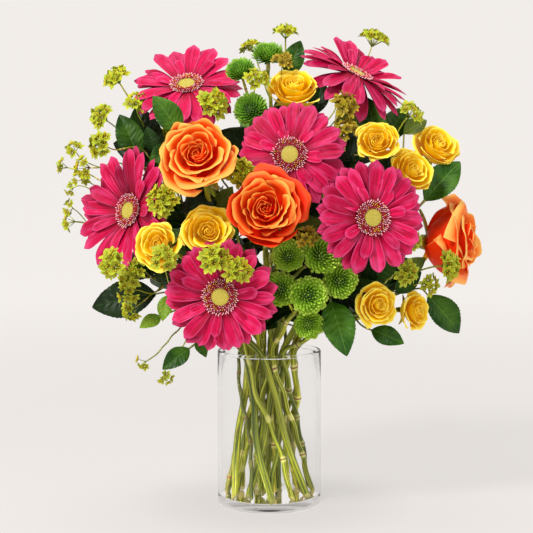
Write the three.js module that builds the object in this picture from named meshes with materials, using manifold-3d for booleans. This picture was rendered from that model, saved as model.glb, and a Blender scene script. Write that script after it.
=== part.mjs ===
// Pink gerberas with orange roses, yellow spray roses, green button mums, bupleurum and broad leaves,
// standing in a clear glass cylinder vase with water. Millimetres, +Z up. The origin is the middle of
// the vase's base on the surface it stands on, and the bouquet's face looks along -Y.
import * as THREE from "three";
import { mergeVertices } from "three/addons/utils/BufferGeometryUtils.js";
import Module from "manifold-3d";

const wasm = await Module();
wasm.setup();

// Driving dimensions: the vase and its water
const vaseHeight = 152;
const vaseRadius = 50.8;
const wallThickness = 2.8;
const floorThickness = 8;
const edgeRadius = 3;
const vaseSides = 32;
const waterBelowRim = 3;
const clearance = 0.4;

// Driving dimensions: the flowers. A whole head's radius is in its row of the tables below.
const gerberaPetals = 18;
const petalHalfWidth = 6.8;
const petalThickness = 1.1;
const eyeRadius = 16;
const coreRadius = 14;
const rootRadius = 10;
const calyxTop = -4.3;
const calyxDepth = 13;
const floretSides = 10;
const rosePetalThickness = 1.2;
const leafThickness = 1.1;
const umbelReach = 11;
const bractRadius = 6;
const straightEnd = 7;

// Driving dimensions: stem radii, at the water and at the head, and the radius of side stems
const gerberaStalk = 3.2;
const roseStalk = [3.3, 2.4];
const sprayStalk = [2.6, 1.8];
const mumStalk = [2.4, 1.8];
const umbelStalk = [1.9, 1];
const leafStalk = [2.1, 1.2];
const sprayBranch = [1.7, 1.4];
const umbelBranch = [1.2, 1.1];
const leafBranch = [1.3, 1];
const stalkSides = 5;

// How stems are bent clear of one another, and the size below which small faces are merged
const bendPasses = 160;
const stemGap = 1.6;
const mergeBelow = 0.15;
const hipDepth = 0.62;
const roseBack = 0.86;

// How the cut ends stand in the vase: rings of straight stems, each ring with its own slant.
// waist and foot are its radii at the mouth and at the glass floor, and twist turns one to the other.
const rings = {
  outer: { places: 13, waist: 28, foot: 42, twist: 80 },
  inner: { places: 9, waist: 18, foot: 31, twist: -90 },
  core: { places: 5, waist: 6, foot: 9, twist: 20 },
};

// Every row below gives where a head's middle is, which way it faces, and its place in the rings.
const gerberas = [
  {
    name: "gerbera_top_left", at: [-79, -15, 408], faces: [-0.08, -0.59, 0.8],
    radius: 54, cup: 2, stand: ["outer", 5],
  },
  {
    name: "gerbera_top_right", at: [84, 5, 420], faces: [0.44, -0.28, 0.855],
    radius: 57, cup: 0, stand: ["outer", 1],
  },
  {
    name: "gerbera_middle", at: [19, -85, 342], faces: [-0.18, -0.965, 0.19],
    radius: 51, cup: -4, stand: ["core", 0],
  },
  {
    name: "gerbera_right", at: [91, -120, 286], faces: [0.31, -0.95, 0.04],
    radius: 52, cup: 3, stand: ["inner", 8],
  },
  {
    name: "gerbera_left", at: [-132, -38, 289], faces: [-0.66, -0.72, 0.2],
    radius: 61, cup: 17, stand: ["outer", 7],
  },
  {
    name: "gerbera_back", at: [52, 92, 296], faces: [0.42, 0.88, 0.22],
    radius: 52, cup: 5, stand: ["outer", 3],
  },
  {
    name: "gerbera_low", at: [-44, -115, 215], faces: [-0.1, -0.99, -0.03],
    radius: 52, cup: 4, stand: ["outer", 9],
  },
];

const roses = [
  {
    name: "rose_left", at: [-65, -108, 341], faces: [-0.1, -0.88, 0.42],
    radius: 39.5, stand: ["inner", 5],
  },
  {
    name: "rose_middle", at: [-3, -130, 294], faces: [-0.08, -0.93, 0.32],
    radius: 38, stand: ["inner", 6],
  },
  { name: "rose_right", at: [182, -3, 261], faces: [0.93, -0.34, 0.12], radius: 45, stand: ["outer", 12] },
];

const roseSprays = [
  {
    name: "spray_rose_right_stem", stand: ["inner", 0],
    heads: [
      { name: "spray_rose_right_a", at: [100, -66, 354], faces: [-0.1, -0.88, 0.45], radius: 22.5 },
      { name: "spray_rose_right_b", at: [133, -46, 327], faces: [0.4, -0.8, 0.42], radius: 24.5, from: 5 },
      { name: "spray_rose_right_c", at: [162, -8, 351], faces: [0.35, -0.75, 0.56], radius: 25.5, from: 5 },
    ],
  },
  {
    name: "spray_rose_left_stem", stand: ["outer", 8],
    heads: [
      { name: "spray_rose_left_a", at: [-56, -102, 273], faces: [0.05, -0.95, 0.3], radius: 25.5 },
      { name: "spray_rose_left_b", at: [-100, -112, 262], faces: [-0.3, -0.9, 0.25], radius: 23, from: 5 },
    ],
  },
  {
    name: "spray_rose_low_stem", stand: ["outer", 11],
    heads: [
      { name: "spray_rose_low_a", at: [100, -75, 204], faces: [0.3, -0.94, 0.05], radius: 21 },
      { name: "spray_rose_low_b", at: [138, -45, 195], faces: [0.7, -0.7, 0.1], radius: 20, from: 5 },
    ],
  },
  {
    name: "spray_rose_top_stem", stand: ["core", 1],
    heads: [
      { name: "spray_rose_top", at: [23, -42, 404], faces: [0, -0.62, 0.78], radius: 27 },
      { name: "spray_rose_back_a", at: [14, 58, 376], faces: [0, 0.75, 0.66], radius: 21, from: 4 },
      { name: "spray_rose_back_b", at: [-38, 74, 336], faces: [-0.3, 0.9, 0.3], radius: 22, from: 4 },
    ],
  },
];

const mumSprays = [
  {
    name: "mums_top", stand: ["core", 2],
    heads: [
      { at: [-1, -2, 438], faces: [0, -0.45, 0.9], radius: 15 },
      { at: [-27, -38, 421], faces: [-0.2, -0.6, 0.77], radius: 13, from: 5 },
      { at: [-17, -48, 384], faces: [-0.2, -0.9, 0.4], radius: 15, from: 4 },
    ],
  },
  {
    name: "mums_middle", stand: ["core", 3],
    heads: [
      { at: [17, -105, 251], faces: [-0.1, -0.95, 0.3], radius: 14 },
      { at: [47, -106, 252], faces: [0.2, -0.95, 0.25], radius: 16.5, from: 5 },
      { at: [64, -94, 228], faces: [0.3, -0.95, 0.1], radius: 15.5, from: 5 },
    ],
  },
  {
    name: "mums_low", stand: ["outer", 10],
    heads: [
      { at: [35, -105, 215], faces: [0.1, -0.99, 0.05], radius: 16.5 },
      { at: [10, -97, 220], faces: [-0.2, -0.97, 0.1], radius: 15, from: 5 },
      { at: [36, -88, 187], faces: [0.1, -0.97, -0.2], radius: 13, from: 5 },
    ],
  },
];

// Bupleurum: each umbel is a few rays from one point, and each ray ends in a star of bracts.
const bupleurumSprays = [
  {
    name: "bupleurum_left", stand: ["inner", 3],
    umbels: [
      { at: [-144, -8, 411], faces: [-0.5, -0.4, 0.77], rays: 2 },
      { at: [-156, -14, 375], faces: [-0.7, -0.5, 0.5], rays: 2, from: 5 },
      { at: [-152, -60, 350], faces: [-0.6, -0.75, 0.3], rays: 2, from: 5 },
      { at: [-198, 10, 330], faces: [-0.95, -0.2, 0.2], rays: 2, from: 4 },
      { at: [-172, -20, 330], faces: [-0.8, -0.6, 0], rays: 2, from: 4 },
    ],
  },
  {
    name: "bupleurum_low", stand: ["inner", 4],
    umbels: [
      { at: [-191, 10, 277], faces: [-0.97, -0.2, 0.1], rays: 2 },
      { at: [-140, -88, 242], faces: [-0.5, -0.85, 0.1], rays: 2, from: 4 },
      { at: [-128, -60, 228], faces: [-0.6, -0.8, 0], rays: 2, from: 4 },
      { at: [-127, -50, 198], faces: [-0.6, -0.6, -0.5], rays: 2, from: 4 },
      { at: [-114, -86, 152], faces: [-0.7, -0.6, -0.4], rays: 2, from: 3 },
    ],
  },
  {
    name: "bupleurum_top", stand: ["core", 4],
    umbels: [
      { at: [16, 22, 456], faces: [0, -0.1, 0.98], rays: 3 },
      { at: [-16, 28, 444], faces: [-0.4, 0.2, 0.9], rays: 2, from: 5 },
      { at: [104, 66, 452], faces: [0.3, -0.1, 0.95], rays: 2, from: 4 },
      { at: [68, -38, 385], faces: [0.3, -0.7, 0.64], rays: 2, from: 4 },
    ],
  },
  {
    name: "bupleurum_back", stand: ["inner", 7],
    umbels: [
      { at: [-96, 62, 362], faces: [-0.7, 0.6, 0.4], rays: 2 },
      { at: [-112, 84, 296], faces: [-0.7, 0.7, 0.1], rays: 2, from: 4 },
      { at: [126, 62, 330], faces: [0.7, 0.6, 0.3], rays: 2, from: 3 },
    ],
  },
  {
    name: "bupleurum_right", stand: ["inner", 1],
    umbels: [
      { at: [162, -55, 238], faces: [0.8, -0.6, 0.1], rays: 2 },
      { at: [122, -84, 234], faces: [0.5, -0.85, 0.1], rays: 2, from: 5 },
      { at: [132, -22, 378], faces: [0.5, -0.5, 0.7], rays: 2, from: 3 },
    ],
  },
];

// Leafy twigs: each leaf has its base, its tip and the side it shows (-1 to the front, 1 to the back).
const leafSprays = [
  {
    name: "leaves_left", stand: ["outer", 4],
    leaves: [
      { base: [-125, -20, 340], tip: [-144, -14, 381], shows: -1 },
      { base: [-110, -16, 208], tip: [-173, -6, 194], shows: -1, from: 3 },
      { base: [-96, -8, 245], tip: [-147, 6, 226], shows: -1, from: 4 },
      { base: [-82, -72, 362], tip: [-107, -74, 396], shows: -1, from: 5 },
    ],
  },
  {
    name: "leaves_right", stand: ["outer", 0],
    leaves: [
      { base: [149, -25, 299], tip: [184, -14, 336], shows: -1 },
      { base: [153, -24, 207], tip: [184, -18, 170], shows: -1, from: 3 },
      { base: [96, -60, 178], tip: [126, -66, 166], shows: -1, from: 3 },
      { base: [120, -45, 212], tip: [144, -45, 232], shows: -1, from: 4 },
    ],
  },
  {
    name: "leaves_top", stand: ["outer", 2],
    leaves: [
      { base: [18, 24, 420], tip: [31, 28, 455], shows: -1 },
      { base: [45, 8, 382], tip: [52, 18, 416], shows: -1, from: 5 },
      { base: [105, -12, 354], tip: [93, 2, 399], shows: -1, from: 5 },
      { base: [114, 14, 355], tip: [136, 28, 390], shows: -1, from: 5 },
    ],
  },
  {
    name: "leaves_low", stand: ["outer", 6],
    leaves: [
      { base: [57, -75, 206], tip: [71, -94, 158], shows: -1 },
      { base: [-74, -86, 164], tip: [-98, -96, 146], shows: -1, from: 3 },
    ],
  },
  {
    name: "leaves_back", stand: ["inner", 2],
    leaves: [
      { base: [-8, 84, 352], tip: [-22, 112, 404], shows: 1 },
      { base: [-70, 56, 350], tip: [-110, 78, 390], shows: 1, from: 4 },
      { base: [84, 60, 352], tip: [118, 84, 396], shows: 1, from: 4 },
      { base: [-76, 66, 256], tip: [-134, 86, 240], shows: 1, from: 3 },
      { base: [96, 62, 236], tip: [146, 88, 214], shows: 1, from: 3 },
      { base: [-24, 84, 246], tip: [-46, 124, 200], shows: 1, from: 3 },
      { base: [28, 78, 216], tip: [48, 112, 164], shows: 1, from: 3 },
    ],
  },
];

const up = new THREE.Vector3(0, 0, 1);

// A number from 0 to 1 that is always the same for the same two whole numbers
function chance(i, k) {
  const wave = Math.sin(i * 12.9898 + k * 78.233) * 43758.5453;
  return wave - Math.floor(wave);
}

// A frame whose Z axis is the way a head faces, with its X axis level
function headFrame(at, faces) {
  const z = new THREE.Vector3(...faces).normalize();
  const x = new THREE.Vector3().crossVectors(up, z).normalize();
  const y = new THREE.Vector3().crossVectors(z, x);
  return new THREE.Matrix4().makeBasis(x, y, z).setPosition(...at);
}

// A frame whose Y axis runs from a leaf's base to its tip, and whose Z axis is the side it shows
function leafFrame({ base, tip, shows }) {
  const y = new THREE.Vector3(...tip).sub(new THREE.Vector3(...base)).normalize();
  const z = new THREE.Vector3(0, shows, 0.35);
  z.addScaledVector(y, -z.dot(y)).normalize();
  const x = new THREE.Vector3().crossVectors(y, z);
  return new THREE.Matrix4().makeBasis(x, y, z).setPosition(...base);
}

// The point this far in front of a head's middle, and the way it faces
const ahead = (frame, distance) => new THREE.Vector3(0, 0, distance).applyMatrix4(frame);
const facing = (frame) => new THREE.Vector3().setFromMatrixColumn(frame, 2);

// A closed three.js geometry as a solid that can be joined and cut
function solid(geometry, matrix = new THREE.Matrix4()) {
  const bare = new THREE.BufferGeometry();
  bare.setAttribute("position", geometry.getAttribute("position").clone());
  bare.setIndex(geometry.index);
  bare.applyMatrix4(matrix);
  const merged = mergeVertices(bare, 1e-3);
  const corners = merged.index.array;
  const triVerts = [];
  for (let i = 0; i < corners.length; i += 3) {
    const [a, b, c] = corners.slice(i, i + 3);
    if (a !== b && b !== c && c !== a) triVerts.push(a, b, c);
  }
  const mesh = new wasm.Mesh({
    numProp: 3,
    vertProperties: merged.getAttribute("position").array,
    triVerts: new Uint32Array(triVerts),
  });
  return new wasm.Manifold(mesh);
}

// A profile of [radius, height] points, turned round the Z axis
function turned(profile, sides) {
  const points = profile.map(([radius, height]) => new THREE.Vector2(radius, height));
  return new THREE.LatheGeometry(points, sides).rotateX(Math.PI / 2);
}

// A closed blade made from a small sphere: its rings become the blade's cross-sections, from the root
// (t = 0) to the tip (t = 1). place gives each point from t, across (-1 to 1) and through (-1 to 1).
// The back is split along the same diagonals as the front, so that the two stay apart where it waves.
function blade(sides, sections, place) {
  const geometry = new THREE.SphereGeometry(1, sides, sections + 1);
  const corner = (row, column) => row * (sides + 1) + column;
  const index = [];
  for (let row = 0; row <= sections; row++) {
    for (let column = 0; column < sides; column++) {
      const [a, b] = [corner(row, column + 1), corner(row, column)];
      const [c, d] = [corner(row + 1, column), corner(row + 1, column + 1)];
      if (column < sides / 2) index.push(a, b, d, b, c, d);
      else index.push(a, b, c, a, c, d);
    }
  }
  geometry.setIndex(index);
  const position = geometry.getAttribute("position");
  for (let i = 0; i < position.count; i++) {
    const t = Math.acos(THREE.MathUtils.clamp(position.getY(i), -1, 1)) / Math.PI;
    const ring = Math.hypot(position.getX(i), position.getZ(i));
    const across = ring > 1e-6 ? -position.getX(i) / ring : 0;
    const through = ring > 1e-6 ? position.getZ(i) / ring : 0;
    position.setXYZ(i, ...place(t, across, through));
  }
  return geometry;
}

// The path of a stem, through its points by straight steps
class Path extends THREE.Curve {
  constructor(points) {
    super();
    this.points = points;
  }

  getPoint(t, target = new THREE.Vector3()) {
    const place = t * (this.points.length - 1);
    const step = Math.min(Math.floor(place), this.points.length - 2);
    return target.lerpVectors(this.points[step], this.points[step + 1], place - step);
  }

  getUtoTmapping(u) {
    return u;
  }
}

// A round stem through points, with its radius at each point
function stem(points, radii, sides) {
  const section = new THREE.Shape();
  for (let i = 0; i < sides; i++) {
    const angle = (i / sides) * 2 * Math.PI;
    if (i === 0) section.moveTo(Math.cos(angle), Math.sin(angle));
    else section.lineTo(Math.cos(angle), Math.sin(angle));
  }
  const options = { steps: points.length - 1, extrudePath: new Path(points) };
  const geometry = new THREE.ExtrudeGeometry(section, options);
  const position = geometry.getAttribute("position");
  const corner = new THREE.Vector3();
  for (let i = 0; i < position.count; i++) {
    corner.fromBufferAttribute(position, i);
    const gaps = points.map((point) => point.distanceTo(corner));
    const nearest = gaps.indexOf(Math.min(...gaps));
    corner.sub(points[nearest]).multiplyScalar(radii[nearest]).add(points[nearest]);
    position.setXYZ(i, corner.x, corner.y, corner.z);
  }
  return solid(geometry);
}

// A stem along a route, whose radius goes evenly from thick to thin
function taperedStem({ points }, [thick, thin], sides = stalkSides) {
  const radii = points.map((_, i) => THREE.MathUtils.lerp(thick, thin, i / (points.length - 1)));
  return stem(points, radii, sides);
}

const root = new THREE.Group();

// Adds a solid to the object as a named mesh in its own frame
function addMesh(name, body, finish, frame = new THREE.Matrix4()) {
  const { vertProperties, triVerts } = body.simplify(mergeBelow).getMesh();
  const geometry = new THREE.BufferGeometry();
  geometry.setAttribute("position", new THREE.BufferAttribute(vertProperties, 3));
  geometry.setIndex(new THREE.BufferAttribute(triVerts, 1));
  geometry.computeVertexNormals();
  const mesh = new THREE.Mesh(geometry, new THREE.MeshStandardMaterial(finish));
  mesh.name = name;
  mesh.applyMatrix4(frame);
  root.add(mesh);
}

const finishes = {
  glass: { color: 0xe8eef0, roughness: 0.03, metalness: 0, transparent: true, opacity: 0.3 },
  water: { color: 0xdfe8ea, roughness: 0.02, metalness: 0, transparent: true, opacity: 0.35 },
  pinkPetal: { color: 0xd81e6a, roughness: 0.55, metalness: 0 },
  gerberaEye: { color: 0xd8c05c, roughness: 0.75, metalness: 0 },
  orangePetal: { color: 0xf57c2a, roughness: 0.5, metalness: 0 },
  yellowPetal: { color: 0xf2c41c, roughness: 0.5, metalness: 0 },
  mumGreen: { color: 0x5f9a2c, roughness: 0.7, metalness: 0 },
  stemGreen: { color: 0x7a9632, roughness: 0.55, metalness: 0 },
  umbelGreen: { color: 0xb4bf3a, roughness: 0.65, metalness: 0 },
  leafGreen: { color: 0x2f6a2a, roughness: 0.45, metalness: 0 },
};

// Where a stem stands: its cut end just above the glass floor, and its place in the mouth
const footLevel = floorThickness + 2.5;
const mouthLevel = vaseHeight + 1;

function standing([ringName, place]) {
  const ring = rings[ringName];
  const waistAngle = (place / ring.places) * 2 * Math.PI;
  const footAngle = waistAngle + THREE.MathUtils.degToRad(ring.twist);
  const foot = new THREE.Vector3(Math.cos(footAngle), Math.sin(footAngle), 0);
  foot.multiplyScalar(ring.foot).setZ(footLevel);
  const waist = new THREE.Vector3(Math.cos(waistAngle), Math.sin(waistAngle), 0);
  waist.multiplyScalar(ring.waist).setZ(mouthLevel);
  return { foot, waist };
}

// The middle points of a bow that leaves start along one direction and reaches end along another
function bow(start, leaving, end, arriving, count) {
  const reach = start.distanceTo(end);
  const curve = new THREE.CubicBezierCurve3(
    start,
    start.clone().addScaledVector(leaving, reach * 0.35),
    end.clone().addScaledVector(arriving, -reach * 0.4),
    end,
  );
  return curve.getPoints(count + 1).slice(1, -1);
}

// A stem's last two points: it reaches its head straight, along the way the head faces
function arrival(end, arriving) {
  return [end.clone().addScaledVector(arriving, -straightEnd), end];
}

const routes = [];
const blocks = [];

// A route from the water to a head: straight to the mouth, then in a bow to the back of the head
function leaderRoute(plant, radius, end, arriving) {
  const { foot, waist } = standing(plant.stand);
  const leaving = waist.clone().sub(foot).normalize();
  const last = arrival(end, arriving);
  const points = [foot, waist, ...bow(waist, leaving, last[0], arriving, 5), ...last];
  const route = { plant: plant.name, radius, points, firstFree: 2 };
  routes.push(route);
  return route;
}

// A route that leaves another one at its point number from, and bows to the back of a head
function branchRoute(leader, from, radius, end, arriving) {
  const start = leader.points[from].clone();
  const leaving = leader.points[from + 1].clone().sub(leader.points[from - 1]).normalize();
  const last = arrival(end, arriving);
  const points = [start, ...bow(start, leaving, last[0], arriving, 2), ...last];
  const route = { plant: leader.plant, radius, points, firstFree: 1, leader, from };
  routes.push(route);
  return route;
}

// A head or leaf that other plants' stems keep clear of: half sizes along the axes of its frame
function block(plant, frame, halfSizes, shift = 0) {
  const placed = frame.clone().multiply(new THREE.Matrix4().makeTranslation(0, 0, shift));
  blocks.push({ plant, frame: placed, inverse: placed.clone().invert(), halfSizes });
}

// Moves the free end points of two steps so that they part by push along a direction
function part(route, step, share, direction, push) {
  const weights = [1 - share, share];
  weights.forEach((weight, i) => {
    const index = step + i;
    if (index >= route.firstFree && index < route.points.length - 2)
      route.points[index].addScaledVector(direction, push * weight);
  });
}

const nearOne = new THREE.Vector3();
const nearTwo = new THREE.Vector3();

// Pushes two stems apart where they come nearer than their radii and a small gap
function partRoutes(one, two) {
  const gap = one.radius + two.radius + stemGap;
  for (let i = 0; i < one.points.length - 1; i++) {
    const lineOne = new THREE.Line3(one.points[i], one.points[i + 1]);
    for (let j = 0; j < two.points.length - 1; j++) {
      const lineTwo = new THREE.Line3(two.points[j], two.points[j + 1]);
      const gapNow = Math.sqrt(lineOne.distanceSqToLine3(lineTwo, nearOne, nearTwo));
      if (gapNow >= gap) continue;
      const direction = nearOne.clone().sub(nearTwo).normalize();
      const shareOne = nearOne.distanceTo(lineOne.start) / lineOne.distance();
      const shareTwo = nearTwo.distanceTo(lineTwo.start) / lineTwo.distance();
      part(one, i, shareOne, direction, (gap - gapNow) * 0.6);
      part(two, j, shareTwo, direction, (gapNow - gap) * 0.6);
    }
  }
}

// Pushes a stem out of a head or leaf that isn't its own
function partFromBlock(route, { frame, inverse, halfSizes }) {
  const sizes = halfSizes.map((size) => size + route.radius + 1);
  for (let i = 0; i < route.points.length - 1; i++) {
    for (const share of [0, 0.33, 0.67]) {
      const place = route.points[i].clone().lerp(route.points[i + 1], share).applyMatrix4(inverse);
      const scaled = new THREE.Vector3(place.x / sizes[0], place.y / sizes[1], place.z / sizes[2]);
      const depth = 1 - scaled.length();
      if (depth <= 0) continue;
      scaled.set(scaled.x / sizes[0], scaled.y / sizes[1], scaled.z / sizes[2]);
      const direction = scaled.transformDirection(frame);
      part(route, i, share, direction, Math.min(3, depth * sizes[2] + 0.2));
    }
  }
}

// Stems are bent clear of one another and of the heads: they are eased, then parted, over and over
function bendClear() {
  for (let pass = 0; pass < bendPasses; pass++) {
    const ease = pass < bendPasses * 0.8 ? 0.12 : 0;
    for (const { points, firstFree, leader, from } of routes) {
      if (leader) points[0].copy(leader.points[from]);
      for (let i = firstFree; i < points.length - 2; i++) {
        const middle = points[i - 1].clone().add(points[i + 1]).multiplyScalar(0.5);
        points[i].lerp(middle, ease);
      }
    }
    for (let i = 0; i < routes.length; i++) {
      for (let j = i + 1; j < routes.length; j++)
        if (routes[i].plant !== routes[j].plant) partRoutes(routes[i], routes[j]);
      for (const one of blocks) if (one.plant !== routes[i].plant) partFromBlock(routes[i], one);
    }
  }
  for (const { points, leader, from } of routes) if (leader) points[0].copy(leader.points[from]);
}

// The vase: a straight glass cylinder with a thick floor and rounded edges
function vaseSolid() {
  const inside = vaseRadius - wallThickness;
  const corner = edgeRadius * (1 - Math.SQRT1_2);
  return solid(turned([
    [0, 0],
    [vaseRadius - edgeRadius, 0],
    [vaseRadius - corner, corner],
    [vaseRadius, edgeRadius],
    [vaseRadius, vaseHeight - 1],
    [vaseRadius - 0.8, vaseHeight],
    [inside + 0.8, vaseHeight],
    [inside, vaseHeight - 1],
    [inside, floorThickness + edgeRadius],
    [inside - edgeRadius, floorThickness],
    [0, floorThickness],
  ], vaseSides));
}

// The water: a plain cylinder inside the glass, with a plain hole for each stem
function waterSolid() {
  const inside = vaseRadius - wallThickness - clearance;
  const low = floorThickness + clearance;
  const body = solid(turned([
    [0, low],
    [inside - edgeRadius, low],
    [inside, low + edgeRadius],
    [inside, vaseHeight - waterBelowRim],
    [0, vaseHeight - waterBelowRim],
  ], vaseSides));
  const leaders = routes.filter((route) => !route.leader);
  const holes = leaders.map(({ points: [foot, waist], radius }) => {
    const along = waist.clone().sub(foot).normalize();
    const ends = [foot.clone().addScaledVector(along, -5), waist.clone().addScaledVector(along, 5)];
    return stem(ends, [radius + clearance, radius + clearance], stalkSides);
  });
  return body.subtract(wasm.Manifold.union(holes));
}

// Gerbera rays: two layers of long petals, narrow at the eye, broad near a blunt tip, and a little folded
function gerberaRays({ radius, cup }, seed) {
  const core = [[0, -3.6], [coreRadius - 3, -3.6], [coreRadius, -1.5], [coreRadius, 1.6], [0, 2]];
  const bodies = [solid(turned(core, 9))];
  for (let i = 0; i < gerberaPetals; i++) {
    const upper = i % 2;
    const reach = radius * (upper ? 0.96 : 1) * (1 - 0.07 * chance(i, seed));
    const tilt = THREE.MathUtils.degToRad(cup + (upper ? 3 : -3) + 4 * (chance(i, seed + 9) - 0.5));
    const level = upper ? 1 : -1.6;
    const lean = 1.4 * (chance(i, seed + 5) - 0.5);
    const petal = blade(4, 2, (t, across, through) => {
      const along = Math.sin((t * Math.PI) / 2);
      const out = rootRadius + (reach - rootRadius) * along;
      const broad = 0.45 + 0.55 * Math.sin((Math.PI / 2) * Math.min(1, along / 0.7));
      const blunt = along > 0.7 ? Math.sqrt(Math.max(0, 1 - ((along - 0.7) / 0.32) ** 2)) : 1;
      const half = petalHalfWidth * broad * blunt;
      const rise = Math.tan(tilt) * (out - eyeRadius - 1) - 3 * along ** 4;
      const fold = 0.9 * Math.abs(across) * along;
      const height = level + rise + fold + (through * petalThickness) / 2;
      return [across * half + lean * along ** 2, out, height];
    });
    const turn = (i / gerberaPetals) * 2 * Math.PI + 0.05 * (chance(i, seed + 3) - 0.5);
    bodies.push(solid(petal, new THREE.Matrix4().makeRotationZ(turn)));
  }
  return wasm.Manifold.union(bodies);
}

// The eye: a low dome whose rings of florets stand up, and a smooth middle
function gerberaEye() {
  const profile = [[0, 2.5], [eyeRadius, 2.5], [eyeRadius - 2.5, 5.2], [8.5, 5.6], [6, 4.6], [0, 5.8]];
  const geometry = turned(profile, floretSides);
  const position = geometry.getAttribute("position");
  for (let i = 0; i < position.count; i++) {
    const column = Math.floor(i / profile.length);
    const radius = Math.hypot(position.getX(i), position.getY(i));
    if (radius > 8 && radius < 15 && column % 2) position.setZ(i, position.getZ(i) + 1.1);
  }
  return solid(geometry);
}

// A gerbera's stem, whose end widens into the green calyx cup under the rays
function gerberaStem({ frame, route }) {
  const cup = [ahead(frame, calyxTop - 0.5 * calyxDepth), ahead(frame, calyxTop)];
  const plain = route.points.map(() => route.radius);
  return stem([...route.points, ...cup], [...plain, 7.5, 10], stalkSides);
}

// A rose in its own frame: a bud-shaped core and whorls of cupped petals that overlap like tiles
function roseBloom(radius, whorls) {
  const core = [[0, -hipDepth], [0.17, -0.58], [0.2, -0.2], [0.15, 0.1], [0, 0.22]];
  const bodies = [solid(turned(core.map(([r, z]) => [r * radius, z * radius]), 5))];
  whorls.forEach(({ count, wide, rim, spread, curl }, k) => {
    const inner = 0.1;
    const low = -0.56 * wide;
    for (let i = 0; i < count; i++) {
      const middle = ((i + 0.37 * k) / count) * 2 * Math.PI;
      const half = THREE.MathUtils.degToRad(spread);
      bodies.push(solid(blade(4, 2, (t, across, through) => {
        const along = Math.sin((t * Math.PI) / 2);
        const blunt = Math.sqrt(Math.max(0, 1 - (1 - 2 * Math.min(t, 1 - t)) ** 4));
        const angle = middle + across * half * blunt * Math.min(1, 1.3 * along);
        const belly = inner + (wide - inner) * Math.sqrt(1 - (1 - along) ** 2);
        const distance = radius * (belly + curl * along ** 4) + (through * rosePetalThickness) / 2;
        const height = radius * (low + (rim - low) * along - 0.6 * curl * along ** 4);
        return [Math.cos(angle) * distance, Math.sin(angle) * distance, height];
      })));
    }
  });
  return wasm.Manifold.union(bodies);
}

const roseWhorls = [
  { count: 3, wide: 0.26, rim: 0.38, spread: 57, curl: 0 },
  { count: 3, wide: 0.44, rim: 0.38, spread: 57, curl: 0.02 },
  { count: 4, wide: 0.64, rim: 0.3, spread: 43, curl: 0.05 },
  { count: 5, wide: 0.84, rim: 0.16, spread: 35, curl: 0.12 },
];
const sprayRoseWhorls = [
  { count: 3, wide: 0.46, rim: 0.4, spread: 57, curl: 0.02 },
  { count: 4, wide: 0.84, rim: 0.22, spread: 44, curl: 0.12 },
];

// The hip behind a rose of this radius, with its five sepals
function roseHip(radius) {
  const top = -hipDepth * radius - clearance - 0.8;
  return sepalStar(0.5 * radius, 0.45 * radius, 0.17 * radius).translate([0, 0, top]);
}

// A button mum: a low dome whose short petals are raised from its surface in a chequer
function mumHead(radius) {
  const columns = 8;
  const rows = 5;
  const geometry = new THREE.SphereGeometry(1, columns, rows);
  const position = geometry.getAttribute("position");
  for (let i = 0; i < position.count; i++) {
    const row = Math.floor(i / (columns + 1));
    const column = i % (columns + 1);
    const sunk = row > 0 && row < rows && (row + column) % 2 ? 0.84 : 1;
    const squash = row < rows / 2 ? 0.72 : 0.6;
    const x = position.getX(i) * radius * sunk;
    const y = -position.getZ(i) * radius * sunk;
    position.setXYZ(i, x, y, position.getY(i) * radius * sunk * squash);
  }
  return solid(geometry);
}

// A star of five pointed sepals, a little cupped, that goes on down as a round cone
function sepalStar(radius, cone, neck) {
  const columns = 10;
  const geometry = new THREE.SphereGeometry(1, columns, 3);
  const position = geometry.getAttribute("position");
  for (let i = 0; i < position.count; i++) {
    const row = Math.floor(i / (columns + 1));
    const column = i % (columns + 1);
    const angle = (column / columns) * 2 * Math.PI;
    const reach = [0, radius * (column % 2 ? 0.5 : 1), neck, 0][row];
    const level = [0.8, 1.6, -1, -cone][row];
    position.setXYZ(i, Math.cos(angle) * reach, Math.sin(angle) * reach, level);
  }
  return solid(geometry);
}

// A cup of five bracts at the end of a thin ray, as one body: the ray runs down its frame's Z axis
function bractCup(radius, ray) {
  const columns = 5;
  const geometry = new THREE.SphereGeometry(1, columns, 3);
  const position = geometry.getAttribute("position");
  for (let i = 0; i < position.count; i++) {
    const row = Math.floor(i / (columns + 1));
    const angle = ((i % (columns + 1)) / columns) * 2 * Math.PI;
    const reach = [0, radius, 0.5, 0][row];
    const level = [0.6, 2, -1.4, -ray][row];
    position.setXYZ(i, Math.cos(angle) * reach, Math.sin(angle) * reach, level);
  }
  return solid(geometry);
}

// An umbel at the end of a route: rays that leave it one after another, each ending in a cup of bracts
function umbel({ frame, rays }, { points }, seed) {
  const bodies = [];
  const [before, tip] = points.slice(-2);
  for (let i = 0; i < rays; i++) {
    const turn = ((i + 0.6 * chance(i, seed)) / rays) * 2 * Math.PI;
    const slant = 0.7 + 0.3 * chance(i, seed + 1);
    const way = new THREE.Vector3(Math.cos(turn) * slant, Math.sin(turn) * slant, 0.8);
    way.transformDirection(frame);
    const start = tip.clone().lerp(before, (1 + 2 * i) / straightEnd);
    const ray = umbelReach * (0.85 + 0.3 * chance(i, seed + 2));
    const middle = headFrame(start.addScaledVector(way, ray).toArray(), way.toArray());
    bodies.push(bractCup(bractRadius, ray + 0.4).transform(middle.elements));
  }
  return wasm.Manifold.union(bodies);
}

// How far a leaf's rib arches above the line from its base to its tip
function leafArch(length, along) {
  return length * 0.3 * along * (1 - along);
}

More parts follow.
